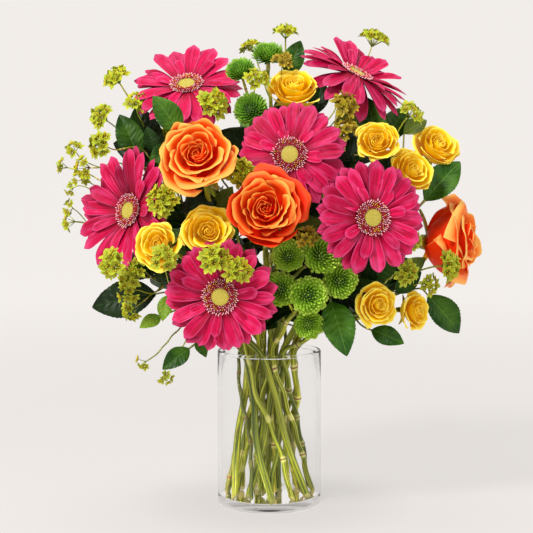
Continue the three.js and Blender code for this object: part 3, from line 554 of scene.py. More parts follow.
def clearFinish(name, look):
    # Clear glass or water. Light that only casts its shadow goes nearly straight through, and so does
    # light that has already been turned many times inside the wall.
    material = bpy.data.materials.new(name)
    material.use_nodes = True
    t = Tree(material.node_tree)
    shader, output = material.node_tree.nodes["Principled BSDF"], material.node_tree.nodes["Material Output"]
    shader.inputs["Base Color"].default_value = look["tint"]
    shader.inputs["Roughness"].default_value = 0.0
    shader.inputs["IOR"].default_value = look["ior"]
    shader.inputs["Transmission Weight"].default_value = 1.0
    shadow = look["shadow"]
    clear = t.add("ShaderNodeBsdfTransparent", {"Color": (shadow, shadow, shadow, 1)})
    path = t.add("ShaderNodeLightPath").outputs
    late = t.math("GREATER_THAN", path["Ray Depth"], look["turns"])
    through = t.math("MAXIMUM", path["Is Shadow Ray"], late)
    both = t.add("ShaderNodeMixShader", {0: through, 1: shader.outputs[0], 2: clear.outputs[0]})
    t.link(both.outputs[0], output.inputs["Surface"])
    if look["grey"]:
        smoke = t.add("ShaderNodeVolumeAbsorption", {"Color": (0.5, 0.5, 0.5, 1), "Density": look["grey"]})
        t.link(smoke.outputs[0], output.inputs["Volume"])
    return material


# turns is how many turns of the light are followed, and grey is how much the glass takes from it
glassClear = clearFinish("glassClear", {
    "tint": (0.995, 0.998, 0.998, 1), "ior": 1.13, "shadow": 0.9, "turns": 6.5, "grey": 9.0})
waterClear = clearFinish("waterClear", {
    "tint": (0.998, 1, 0.998, 1), "ior": 1.03, "shadow": 0.98, "turns": 6.5, "grey": 0.0})


def glintFinish(name):
    # a painted highlight for the water's edge: a bright line broken into glints, which glows a little
    material, t, shader = startFinish(name, 0.12, 0.5)
    glint = t.noise(t.add("ShaderNodeTexCoord").outputs["Object"], 90.0, 4.0, 0.6)
    t.paint(shader, t.mix(t.spread(glint, 0.4, 0.6), colour(214, 218, 214), colour(252, 253, 250)), 0.3)
    t.link(t.spread(glint, 0.35, 0.6, (0.15, 0.9)), shader.inputs["Alpha"])
    return material


waterGlintPainted = glintFinish("waterGlintPainted")
print("finishes made")

# The plants, as in the part's source: where each head's middle is, the way it faces and its radius.
# cup is the tilt of its petals, lift how far those at the back stand up and drop how far those in
# front hang, all in degrees.
gerberas = [
    {"name": "gerbera_top_left", "at": [-79, -15, 408], "faces": [-0.08, -0.59, 0.8], "radius": 54, "cup": 2,
     "lift": 18, "drop": 14},
    {"name": "gerbera_top_right", "at": [84, 5, 420], "faces": [0.44, -0.28, 0.855], "radius": 57, "cup": 0,
     "lift": 26, "drop": 22},
    {"name": "gerbera_middle", "at": [19, -85, 342], "faces": [-0.18, -0.965, 0.19], "radius": 51, "cup": -4},
    {"name": "gerbera_right", "at": [91, -120, 286], "faces": [0.31, -0.95, 0.04], "radius": 52, "cup": 3},
    {"name": "gerbera_left", "at": [-132, -38, 289], "faces": [-0.66, -0.72, 0.2], "radius": 61, "cup": 17},
    {"name": "gerbera_back", "at": [52, 92, 296], "faces": [0.42, 0.88, 0.22], "radius": 52, "cup": 5},
    {"name": "gerbera_low", "at": [-44, -115, 215], "faces": [-0.1, -0.99, -0.03], "radius": 52, "cup": 4},
]
# eye is where the tilt begins, widest the share of the length where a petal is widest
gerberaShape = {"halfWidth": 7.5, "root": 10.0, "eye": 17.0, "halfThick": 0.22, "rows": 17, "cols": 9,
                "widest": 0.68, "groove": 0.46, "droop": 3.2}
# the layers: how many petals, their level, their further tilt in degrees and their share of the radius
gerberaLayers = [(16, -1.7, -3.5, 1.03), (16, 0.9, 2.5, 1.0), (7, 2.2, 9.0, 0.76)]


def gerberaPetals(head, seed):
    # Two full layers of petals and a few short ones in front: v runs from root to tip, u from edge to
    # edge. out = root + length * (v, less near the corners of the tip), the half width swells until v
    # passes the widest place and closes round the tip, and height = tan(tilt) * (out - eye) + a bend
    # + two long grooves + a fold of the edges, with the tip drooping by v^4.
    shape = gerberaShape
    turn = headFrame(head["at"], head["faces"])[0]
    v, u = alongAcross(shape["rows"], shape["cols"])
    v = np.sin(v * math.pi / 2)
    parts = []
    for layer, (count, level, tiltOff, reach) in enumerate(gerberaLayers):
        behind, short = layer == 0, layer == 2
        i = np.arange(count)
        s = seed + 40 * layer
        pick = [chance(i, s + k)[:, None, None] for k in range(9)]
        tipReach = head["radius"] * reach * (1 - (0.06 + 0.15 * short) * pick[0])
        length = tipReach - shape["root"]
        notch = 0.03 * np.exp(-((u - 0.5 * pick[1]) / 0.25) ** 2) * v ** 12 * (pick[2] > 0.55)
        pulled = v * (1 - 0.05 * np.abs(u) ** 2 * v ** 3) - notch
        out = shape["root"] + length * pulled
        swell = 0.36 + 0.64 * np.sin(np.minimum(v / shape["widest"], 1) * math.pi / 2) ** 1.2
        close = np.where(v > 0.7, np.sqrt(np.maximum(1 - (np.abs(v - 0.7) / 0.303) ** 2.8, 0)), 1)
        half = shape["halfWidth"] * (0.8 + 0.3 * pick[3]) * (1 - 0.3 * short) * swell * close
        turns = (i + 0.5 * behind + 0.3 * short + 0.4 * (chance(i, s + 11) - 0.5)) / count
        angle = turns * 2 * math.pi
        # the petals at the back may stand up by the head's own lift, and those in front hang by its drop
        back = (turn[1, 1] * np.cos(angle) - turn[1, 0] * np.sin(angle))[:, None, None]
        back = back / np.hypot(*turn[1, :2])
        lifted = head.get("lift", 0) * np.maximum(0, back) ** 2
        lifted = lifted - head.get("drop", 0) * np.maximum(0, -back) ** 2
        tilt = np.radians(head["cup"] + tiltOff + 9 * (pick[4] - 0.5) + lifted)
        bend = (pick[5] - 0.45) * 7 * v ** 2
        groove = -shape["groove"] * np.cos(u * 2.2 * math.pi) * np.minimum(1, 3 * v) * (1 - 0.5 * v)
        fold = (0.9 + 1.6 * pick[6]) * np.abs(u) ** 1.5 * np.sin(v * math.pi * 0.9)
        height = level + np.tan(tilt) * (out - shape["eye"]) + bend - shape["droop"] * v ** 4 + groove + fold
        lean = 3.6 * (pick[7] - 0.5) * v ** 2
        roll = 2.6 * (pick[8] - 0.5) * u * v
        mid = turnedAboutZ(stacked(u * half + lean, out, height + roll), angle)
        thick = shape["halfThick"] * (1 - u ** 4) * np.minimum(1, 8 * (1 - v)) * (v > 0)
        # painted shade: deeper towards each petal's root, partly its own deeper colour there, and over the
        # whole back layer, which lies under the front one
        shade = np.clip(1 - 2.6 * v, 0, 1) * 0.7 + 0.6 * behind * np.clip(1.15 - v, 0, 1)
        place, tone = stacked(u, v, pick[0]), stacked(1.0, shade, 0.0)
        # u runs to +X and v outward, so flipping u turns the front up
        parts.append(skin(mid[:, :, ::-1], thick[:, :, ::-1], place[:, :, ::-1], tone))
    return parts


def pegs(base, way, length, wide, swell, place, tone, heightIn=1, sides=5, rows=4, bow=0.0):
    # n small pegs. At t of its length from base along way, a peg's radius is wide * (1 + (swell - 1) * t),
    # and its middle bends aside by bow * t^2; the last ring is drawn in. place and tone are (n, 3), and
    # t is put in the number heightIn of place.
    way = unit(way)
    side = unit(np.cross(way, np.where(np.abs(way[:, 2:]) > 0.9, [[1.0, 0, 0]], [[0, 0, 1.0]])))
    other = np.cross(way, side)
    t = np.linspace(0, 1, rows)[None, :, None]
    angle = roundAngles(sides)[None, None, :]
    radius = np.reshape(wide, (-1, 1, 1)) * (1 + (np.reshape(swell, (-1, 1, 1)) - 1) * t)
    radius = radius * np.where(t > 0.99, 0.45, 1.0)
    centre = base[:, None, None] + way[:, None, None] * (np.reshape(length, (-1, 1, 1)) * t)[..., None]
    centre = centre + np.broadcast_to(bow, base.shape)[:, None, None] * (t ** 2)[..., None]
    ring = np.cos(angle)[..., None] * side[:, None, None] + np.sin(angle)[..., None] * other[:, None, None]
    rings = centre + ring * radius[..., None]
    spot = np.broadcast_to(place[:, None, None], rings.shape).copy()
    spot[..., heightIn] = t
    return tube(rings, spot, tone[:, None, None])


def spiral(count, offset=0.5):
    # Sunflower order: the square root spreads them evenly, and each turns by the golden angle
    i = np.arange(count)
    return np.sqrt((i + offset) / count), i * goldenAngle


# buds is the radius of the middle's pale buds, dome the height there and fall how far it drops outside
eyeShape = {"radius": 14.2, "florets": 310, "buds": 7.2, "dome": 4.2, "fall": 1.4, "sides": 32}


def gerberaEye(seed):
    # Close florets on a low dome, height = dome - fall * (radius / rim)^2, which lean outward more and
    # more: pale buds in the middle, red pegs round them, and longer, bowed tongues outside
    rim, buds = eyeShape["radius"], eyeShape["buds"]
    r, a = spiral(eyeShape["florets"])
    radius = r * rim
    i = np.arange(len(r))
    jitter = chance(i, seed)
    dome = eyeShape["dome"] - eyeShape["fall"] * (radius / rim) ** 2
    base = stacked(radius * np.cos(a), radius * np.sin(a), dome - 1.0)
    outward = stacked(np.cos(a), np.sin(a), 0 * a)
    slant = np.interp(radius, [0, buds - 0.2, 11, rim], [0.05, 0.15, 0.35, 0.7])[:, None]
    way = outward * slant + [0, 0, 1.0]
    length = np.interp(radius, [0, buds, buds + 1, 11, rim], [1.2, 1.5, 2.4, 2.8, 3.4])
    length = length * (0.75 + 0.5 * jitter)
    wide = np.interp(radius, [0, buds, buds + 1.4, rim], [0.4, 0.44, 0.36, 0.34])
    swell = np.interp(radius, [0, buds + 0.4, 9, rim], [0.8, 0.8, 1.8, 2.0])
    bow = outward * np.interp(radius, [10, rim], [0, 0.9])[:, None] * (0.4 + jitter[:, None])
    place = stacked(0 * r, radius / rim, chance(i, seed + 1))
    florets = pegs(base, way, length, wide, swell, place, np.zeros_like(base), heightIn=0, bow=bow)
    profile = np.array([[0.8, 2.2], [13.6, 2.2], [rim, 2.6], [12, 3.3], [9, 3.8], [5, 4.2], [1, 4.3]])
    return [florets, lathe(profile, eyeShape["sides"], stacked(0.0, profile[:, :1] / rim, 0.0))]


roses = [
    {"name": "rose_left", "at": [-65, -108, 341], "faces": [-0.1, -0.88, 0.42], "radius": 39.5,
     "turn": 3.4, "bud": 0.42, "open": 0.8},
    {"name": "rose_middle", "at": [-3, -130, 294], "faces": [-0.08, -0.93, 0.32], "radius": 38,
     "turn": 2.2, "bud": 0.5, "open": 1.0},
    {"name": "rose_right", "at": [182, -3, 261], "faces": [0.93, -0.34, 0.12], "radius": 45,
     "turn": 1.1, "bud": 0.45, "open": 1.6, "tall": 1.35},
]
# in the sprays, leaves is the point of the spray's own stem that a side stem leaves
sprayRoses = {
    "spray_rose_right_stem": [
        {"name": "spray_rose_right_a", "at": [100, -66, 354], "faces": [-0.1, -0.88, 0.45], "radius": 22.5},
        {"name": "spray_rose_right_b", "at": [133, -46, 327], "faces": [0.4, -0.8, 0.42], "radius": 24.5,
         "leaves": 5},
        {"name": "spray_rose_right_c", "at": [162, -8, 351], "faces": [0.35, -0.75, 0.56], "radius": 25.5,
         "leaves": 5}],
    "spray_rose_left_stem": [
        {"name": "spray_rose_left_a", "at": [-56, -102, 273], "faces": [0.05, -0.95, 0.3], "radius": 25.5},
        {"name": "spray_rose_left_b", "at": [-100, -112, 262], "faces": [-0.3, -0.9, 0.25], "radius": 23,
         "leaves": 5}],
    "spray_rose_low_stem": [
        {"name": "spray_rose_low_a", "at": [100, -75, 204], "faces": [0.3, -0.94, 0.05], "radius": 21},
        {"name": "spray_rose_low_b", "at": [138, -45, 195], "faces": [0.7, -0.7, 0.1], "radius": 20,
         "leaves": 5}],
    "spray_rose_top_stem": [
        {"name": "spray_rose_top", "at": [23, -42, 404], "faces": [0, -0.62, 0.78], "radius": 27,
         "open": 0.4},
        {"name": "spray_rose_back_a", "at": [14, 58, 376], "faces": [0, 0.75, 0.66], "radius": 21,
         "leaves": 4},
        {"name": "spray_rose_back_b", "at": [-38, 74, 336], "faces": [-0.3, 0.9, 0.3], "radius": 22,
         "leaves": 4}],
}
# step is the turn from one petal to the next in degrees, open how far the outer rims roll back, and full
# how wide the petals are
roseShape = {"petals": 24, "rows": 17, "cols": 19, "halfThick": 0.2, "open": 1.0, "full": 1.0, "step": 137.5}
sprayRoseShape = {"petals": 20, "rows": 13, "cols": 15, "halfThick": 0.18, "open": 0.7, "full": 1.2,
                  "step": 137.5}


def rosePetals(head, shape, seed):
    # Petals in a spiral round a bud, each a cupped sheet: v runs from its base to its rim, u across.
    # f goes from 0 at the heart to 1 outside. distance = 0.04 + (belly - 0.04) * sqrt(1 - (1 - v)^2.2),
    # which closes in over the bud and rolls outward and down near the outer rims; each sheet tucks one
    # side under the next, its rim is highest in the middle and waved, and its corners fall back.
    count = shape["petals"]
    rad, bud, wide = head["radius"], head.get("bud", 0.46), head.get("open", shape["open"])
    v, u = alongAcross(shape["rows"], shape["cols"])
    i = np.arange(count)
    f = (i / (count - 1))[:, None, None]
    pick = [chance(i, seed + k)[:, None, None] for k in range(9)]
    belly = np.interp(f, [0, 0.45, 0.62, 0.8, 1], [0.06, 0.72 * bud, 1.12 * bud, 0.7, 0.87])
    belly = belly + 0.09 * (pick[6] - 0.5) * (f > 0.15)
    rimAt = np.interp(f, [0, 0.25, 0.45, 0.62, 0.8, 1], [0.3, 0.35, 0.35, 0.41, 0.28, 0.12])
    rimAt = rimAt + 0.13 * (pick[0] - 0.5) * (0.35 + f)
    low = -0.58 * np.minimum(1, belly * 1.15)
    spread = np.radians(np.interp(f, [0, 0.5, 1], [120, 76, 58])) * (0.8 + 0.4 * pick[1]) * shape["full"]
    outline = np.minimum(1, 0.45 + 0.8 * v) * (1 - 0.2 * v ** 6)
    angle = (i * math.radians(shape["step"]))[:, None, None] + head.get("turn", 0.0)
    turn = angle + u * spread * outline + 0.5 * (pick[7] - 0.5)
    closing = np.clip(1 - f / 0.55, 0, 1) * 0.45 * belly * v ** 3
    curl = np.interp(f, [0, 0.45, 0.7, 1], [0.0, 0.04, 0.11, 0.15]) * (0.35 + 1.3 * pick[2]) * wide
    roll = np.clip((v - 0.62) / 0.38, 0, 1)
    edges = 0.8 + 0.3 * np.abs(u) ** 1.5
    wave = 0.042 * np.sin(u * (3 + 3 * pick[3]) + 6.3 * pick[4]) * v ** 3 * (0.35 + f)
    wave = wave + 0.018 * np.sin(u * (9 + 5 * pick[8]) + 6.3 * pick[5]) * v ** 5 * (0.25 + f)
    corner = (0.02 + 0.11 * f) * np.abs(u) ** 2.4 * v ** 2
    distance = 0.04 + (belly - 0.04) * np.sqrt(1 - (1 - v) ** 2.2) - closing
    distance = distance + (0.035 + 0.02 * f) * u * np.minimum(1, 3 * v) + curl * roll ** 1.8 * edges + wave
    height = low + (rimAt - low) * v ** 0.92 - corner - 1.1 * curl * roll ** 2.6 * edges + 0.5 * wave
    # a low ridge up the middle of the outer petals
    height = height + 0.02 * np.interp(f, [0.3, 0.7], [0, 1]) * np.exp(-((u / 0.2) ** 2)) * v ** 6
    distance = np.maximum(distance, 0.012)
    height = height * head.get("tall", 1.0)
    # the heart lies a little off the middle
    aside = 0.07 * (1 - f) * v
    across = distance * np.cos(turn) + aside * math.cos(seed)
    up = distance * np.sin(turn) + aside * math.sin(seed)
    mid = stacked(across, up, height) * rad
    thick = shape["halfThick"] * (1 - u ** 6) * np.minimum(1, 10 * (1 - v)) * np.minimum(1, 0.2 + 5 * v)
    # painted shade: deeper towards each petal's base and over the inner petals, partly the petals' own deeper
    # colour there
    depth = np.clip(1.12 - 1.25 * v, 0, 1) + np.clip(0.3 - f, 0, 1) * 0.9
    tone = stacked(1.0, np.clip(depth, 0, 1), f)
    petals = skin(mid, thick * (v > 0), stacked(u, v, pick[5]), tone)
    # the bud's core, so that nothing shows through the heart
    core = np.array([[0.02, -0.6], [0.16, -0.57], [0.18, -0.3], [0.1, 0.0], [0.05, 0.12], [0.02, 0.15]]) * rad
    return [petals, lathe(core, 12, tone=(0, 1, 0))]


# each mum: where, facing, radius, and the point of the spray's own stem that its side stem leaves
mums = {
    "mums_top": [
        ([-1, -2, 438], [0, -0.45, 0.9], 15, 0), ([-27, -38, 421], [-0.2, -0.6, 0.77], 13, 5),
        ([-17, -48, 384], [-0.2, -0.9, 0.4], 15, 4)],
    "mums_middle": [
        ([17, -105, 251], [-0.1, -0.95, 0.3], 14, 0), ([47, -106, 252], [0.2, -0.95, 0.25], 16.5, 5),
        ([64, -94, 228], [0.3, -0.95, 0.1], 15.5, 5)],
    "mums_low": [
        ([35, -105, 215], [0.1, -0.99, 0.05], 16.5, 0), ([10, -97, 220], [-0.2, -0.97, 0.1], 15, 5),
        ([36, -88, 187], [0.1, -0.97, -0.2], 13, 5)],
}
# core is the ball's radius as a share of the head's, flat its height as a share of that, and cover how
# far round the ball the petals go, where 2 is all of it
mumShape = {"petals": 200, "core": 0.62, "flat": 0.72, "cover": 1.62, "halfThick": 0.16}


def mumHead(radius, seed):
    # Short petals all over a flattened ball in sunflower order, from the heart (f = 0) to behind it,
    # where cos(polar) = 1 - cover * f. Each leaves along the ball's normal, and bends outward by v^2.2.
    shape = mumShape
    count = shape["petals"]
    i = np.arange(count)
    f = (i + 0.5) / count
    polar = np.arccos(1 - shape["cover"] * f)
    a = i * goldenAngle
    normal = stacked(np.sin(polar) * np.cos(a), np.sin(polar) * np.sin(a), np.cos(polar))
    start = normal * np.array([1, 1, shape["flat"]]) * radius * (shape["core"] - 0.1)
    reach = radius * (0.24 + 0.28 * np.minimum(1, polar / 1.2)) * (0.8 + 0.35 * chance(i, seed))
    outward = unit(normal * [1, 1, 0])
    way = unit(normal * [1, 1, 0.8] + outward * 0.25)
    v, u = alongAcross(5, 3)
    side = unit(np.cross(way, [[0, 0, 1.0]]) + 1e-6)
    lift = np.cross(side, way)
    wide = radius * 0.072 * (0.6 + 0.5 * np.minimum(1, f * 2))[:, None, None] * (0.7 + 0.8 * v - 0.6 * v ** 5)
    bend = (0.5 * v ** 2.2) * reach[:, None, None]
    cupped = 0.55 * wide * u ** 2
    mid = (start[:, None, None] + way[:, None, None] * (reach[:, None, None] * v)[..., None]
           + side[:, None, None] * (u * wide)[..., None]
           + lift[:, None, None] * (bend + cupped)[..., None])
    thick = shape["halfThick"] * (1 - u ** 2) * (v < 1) * (v > 0)
    pick = chance(i, seed + 2)[:, None, None]
    heart = np.clip(1 - polar / 0.55, 0, 1)[:, None, None]
    petals = skin(mid, thick, stacked(u, v, pick), stacked(1.0, heart, 0.0))
    # the ball under them
    turn = np.linspace(0.06, math.pi - 0.06, 10)
    core = radius * shape["core"] * 0.94
    profile = np.stack([core * np.sin(turn), -core * shape["flat"] * np.cos(turn)], 1)
    return [petals, lathe(profile, 16)]


# each umbel: where, facing, its rays, its size, and the point of the plant's own stem that its side
# stem leaves
bupleurum = {
    "bupleurum_left": [
        ([-144, -8, 411], [-0.5, -0.4, 0.77], 6, 1.0, 0), ([-156, -14, 375], [-0.7, -0.5, 0.5], 6, 1.0, 5),
        ([-152, -60, 350], [-0.6, -0.75, 0.3], 6, 1.0, 5), ([-198, 10, 330], [-0.95, -0.2, 0.2], 2, 0.7, 4),
        ([-172, -20, 330], [-0.8, -0.6, 0], 4, 0.9, 4)],
    "bupleurum_low": [
        ([-191, 10, 277], [-0.97, -0.2, 0.1], 3, 0.8, 0), ([-140, -88, 242], [-0.5, -0.85, 0.1], 6, 1.0, 4),
        ([-128, -60, 228], [-0.6, -0.8, 0], 5, 0.9, 4), ([-127, -50, 198], [-0.6, -0.6, -0.5], 4, 0.8, 4),
        ([-114, -86, 152], [-0.7, -0.6, -0.4], 2, 0.6, 3)],
    "bupleurum_top": [
        ([16, 22, 456], [0, -0.1, 0.98], 6, 0.9, 0), ([-16, 28, 444], [-0.4, 0.2, 0.9], 4, 0.8, 5),
        ([104, 66, 452], [0.3, -0.1, 0.95], 7, 1.1, 4), ([68, -38, 385], [0.3, -0.7, 0.64], 6, 1.0, 4)],
    "bupleurum_back": [
        ([-96, 62, 362], [-0.7, 0.6, 0.4], 6, 1.0, 0), ([-112, 84, 296], [-0.7, 0.7, 0.1], 6, 1.0, 4),
        ([126, 62, 330], [0.7, 0.6, 0.3], 6, 1.0, 3)],
    "bupleurum_right": [
        ([162, -55, 238], [0.8, -0.6, 0.1], 6, 1.1, 0), ([122, -84, 234], [0.5, -0.85, 0.1], 5, 0.9, 5),
        ([132, -22, 378], [0.5, -0.5, 0.7], 4, 0.9, 3)],
}
# more of them, too small for the part's own solids, each on a thin stalk from its plant's own stem
smallUmbels = {
    "bupleurum_left": [
        ([-126, -20, 388], [0.2, -0.7, 0.7], 5, 0.9, 6), ([-87, -20, 385], [0, -0.8, 0.6], 4, 0.8, 5),
        ([-188, 0, 345], [-0.4, -0.6, 0.7], 3, 0.7, 5), ([-182, 0, 318], [-0.3, -0.9, 0.1], 2, 0.7, 4),
        ([-192, 5, 310], [-0.4, -0.8, -0.3], 2, 0.6, 4)],
    "bupleurum_low": [
        ([-95, -78, 298], [-0.3, -0.9, 0.3], 7, 1.15, 5), ([-121, -62, 237], [-0.3, -0.9, 0.3], 4, 0.8, 4),
        ([-130, -62, 214], [-0.3, -0.9, -0.2], 3, 0.8, 4), ([-192, 5, 290], [-0.6, -0.6, 0.5], 2, 0.7, 6),
        ([-98, -60, 136], [0.1, -0.8, -0.5], 3, 0.6, 3), ([-94, -122, 250], [0.1, -0.9, 0.1], 4, 0.9, 4)],
    "bupleurum_top": [
        ([-13, -45, 410], [0.2, -0.8, 0.5], 5, 0.9, 5), ([-55, -50, 386], [0.3, -0.8, 0.5], 6, 1.1, 4),
        ([-28, -95, 321], [0.1, -0.8, 0.5], 7, 1.1, 3), ([12, -35, 426], [0.1, -0.6, 0.8], 4, 0.8, 6)],
    "bupleurum_back": [
        ([-10, 96, 290], [0, 0.9, 0.3], 5, 1.0, 4), ([86, 84, 390], [0.4, 0.7, 0.5], 5, 1.0, 5)],
    "bupleurum_right": [
        ([131, -60, 262], [0.3, -0.9, 0.3], 4, 0.8, 5), ([146, -60, 222], [0.6, -0.8, 0], 4, 0.8, 5),
        ([33, -110, 266], [0, -0.9, 0.4], 4, 0.8, 3), ([-49, -122, 247], [0, -0.9, 0.4], 5, 1.0, 2),
        ([-30, -124, 238], [0.2, -0.9, 0.3], 5, 0.9, 2), ([72, -40, 362], [0, -0.8, 0.6], 5, 0.9, 4)],
}
# these have turned brown
brownUmbels = {(12, -35, 426), (72, -40, 362), (68, -38, 385), (33, -110, 266)}
# the lengths of a ray and a bract, how many bracts and florets a star has, how many rays there are for
# each one in the tables, and how far a knot of florets spreads in its star
umbelShape = {"reach": 12.0, "bract": 6.7, "bracts": 6, "florets": 9, "fuller": 1.7, "knot": 0.42,
              "halfThick": 0.14}


def bractStars(centres, ways, size, seed):
    # Stars of pointed oval bracts, one star for each centre, with a knot of tiny florets in the middle.
    # A bract is length long, its half width is 0.36 * length * sin(pi * v)^0.75, less towards its tip,
    # and it rises from its centre's plane by 0.42 * length * v^1.5.
    shape = umbelShape
    count = shape["bracts"]
    n = len(centres)
    v, u = alongAcross(5, 5)
    k = np.arange(n * count)
    pick = [chance(k, seed + j)[:, None, None] for j in range(3)]
    length = np.repeat(size, count)[:, None, None] * (0.8 + 0.35 * pick[0])
    half = length * 0.36 * np.sin(np.clip(v, 0.04, 0.97) * math.pi) ** 0.75 * (1.15 - 0.3 * v)
    height = length * (0.42 * v ** 1.5 + 0.25 * (pick[1] - 0.5) * v) + 0.35 * half * np.abs(u)
    turn = (k % count + 0.5 * (chance(k, seed + 5) - 0.5)) / count * 2 * math.pi
    turn = turn + np.repeat(np.arange(n) * 1.3, count)
    mid = turnedAboutZ(stacked(u * half, 0.6 + length * v, height), turn)
    ways = unit(ways)
    x = unit(np.cross([[0.13, 0.21, 0.97]], ways))
    basis = np.stack([x, np.cross(ways, x), ways], -1)
    mid = np.einsum("nij,nrcj->nrci", np.repeat(basis, count, 0), mid)
    mid = mid + np.repeat(centres, count, 0)[:, None, None]
    thick = shape["halfThick"] * (1 - u ** 2) * np.minimum(1, 6 * (1 - v)) * (v > 0)
    place = stacked(u, v, pick[2])
    bracts = skin(mid[:, :, ::-1], thick[:, :, ::-1], place[:, :, ::-1], (1.0, 0.0, 0.0))
    knots = shape["florets"]
    j = np.arange(n * knots)
    r, a = spiral(knots)
    r, a = np.tile(r, n), np.tile(a, n)
    big = np.repeat(size, knots)
    local = stacked(r * big * shape["knot"] * np.cos(a), r * big * shape["knot"] * np.sin(a), 0.2)
    ride = np.repeat(basis, knots, 0)
    base = np.einsum("nij,nj->ni", ride, local) + np.repeat(centres, knots, 0)
    way = np.einsum("nij,nj->ni", ride, local * [1, 1, 0] * 0.35 + [0, 0, 1.0])
    length = big * (0.32 + 0.2 * chance(j, seed + 9))
    spot, shade = stacked(0.0, 0.0, chance(j, seed + 8)), stacked(0 * r, 1.0, 0.0)
    florets = pegs(base, way, length, big * 0.055, 2.0, spot, shade, sides=4, rows=3)
    return [bracts, florets]


def umbelParts(at, faces, rays, size, seed):
    # Rays that spread from one point like a small umbrella, each ending in a star of bracts
    turn, start = headFrame(at, faces)
    rays = round(rays * umbelShape["fuller"])
    i = np.arange(rays)
    r, a = spiral(rays, 0.35)
    a = a + chance(seed, 3) * 6
    reach = umbelShape["reach"] * size * (0.85 + 0.3 * chance(i, seed))
    ways = unit(stacked(np.cos(a) * r * 0.95, np.sin(a) * r * 0.95, 0.75)) @ turn.T
    tips = start + ways * reach[:, None]
    stars = bractStars(tips, ways, size * umbelShape["bract"] * (0.85 + 0.3 * chance(i, seed + 1)), seed + 20)
    spot, shade = stacked(0.0, 0.0, chance(i, seed + 4)), np.zeros((rays, 3))
    stalks = pegs(start - ways * 0.6, ways, reach + 0.8, 0.42, 0.9, spot, shade, rows=3)
    return [*stars, stalks]


# each leaf: base, tip, its finish, and the point of the twig's own stem that its stalk leaves
leafSprays = {
    "leaves_left": [
        ([-125, -20, 340], [-144, -14, 381], leafGreen, 0), ([-110, -16, 208], [-173, -6, 194], leafDarkShaded, 3),
        ([-96, -8, 245], [-147, 6, 226], leafDarkShaded, 4), ([-82, -72, 362], [-107, -74, 396], leafGreen, 5)],
    "leaves_right": [
        ([149, -25, 299], [184, -14, 336], leafGreen, 0), ([153, -24, 207], [184, -18, 170], leafGreen, 3),
        ([96, -60, 178], [126, -66, 166], leafGreen, 3), ([120, -45, 212], [144, -45, 232], leafGreen, 4)],
    "leaves_top": [
        ([18, 24, 420], [31, 28, 455], leafGreen, 0), ([45, 8, 382], [52, 18, 416], leafDarkShaded, 5),
        ([105, -12, 354], [93, 2, 399], leafGreen, 5), ([114, 14, 355], [136, 28, 390], leafGreen, 5)],
    "leaves_low": [
        ([57, -75, 206], [71, -94, 158], leafGreen, 0), ([-74, -86, 164], [-98, -96, 146], leafGreen, 3)],
    "leaves_back": [
        ([-8, 84, 352], [-22, 112, 404], leafGreen, 0), ([-70, 56, 350], [-110, 78, 390], leafGreen, 4),
        ([84, 60, 352], [118, 84, 396], leafDarkShaded, 4), ([-76, 66, 256], [-134, 86, 240], leafGreen, 3),
        ([96, 62, 236], [146, 88, 214], leafGreen, 3), ([-24, 84, 246], [-46, 124, 200], leafDarkShaded, 3),
        ([28, 78, 216], [48, 112, 164], leafGreen, 3)],
}
# smaller leaves that the part's own solids leave out
smallLeaves = {
    "leaves_left": [
        ([-109, -35, 345], [-116, -35, 369], leafDarkShaded, 6), ([-112, -8, 334], [-129, 0, 390], leafDarkShaded, 6),
        ([-104, -10, 338], [-152, 4, 354], leafDarkShaded, 6), ([-92, -50, 352], [-112, -52, 330], leafGreen, 5),
        ([-50, -55, 301], [-83, -75, 290], leafDarkShaded, 4),
        ([-103, -50, 190], [-122, -60, 180], leafLime, 3), ([-96, -55, 210], [-100, -65, 187], leafLime, 3)],
    "leaves_right": [
        ([124, -40, 227], [148, -45, 245], leafOlive, 5), ([130, -10, 363], [153, 0, 376], leafOlive, 6)],
    "leaves_top": [
        ([63, -40, 326], [80, -45, 347], leafDarkShaded, 4), ([80, -15, 369], [69, -25, 394], leafOlive, 5),
        ([-46, -50, 289], [-34, -70, 313], leafOlive, 3)],
    "leaves_low": [([-66, -85, 174], [-58, -95, 157], leafGreen, 3)],
}
# fine and plain are the rows of a toothed leaf and of one that only fills a gap; wide is the half width
# and arch four times the rise, as shares of the length; quilts are the swellings between side veins
leafShape = {"fine": 61, "plain": 19, "cols": 11, "halfThick": 0.3, "teeth": 15, "wide": 0.29, "arch": 0.3,
             "quilts": 8}


def leafSide(name):
    # the way that a plant's leaves show: backwards at the back, and to the front elsewhere
    return [0, 1 if name == "leaves_back" else -1, 0.35]


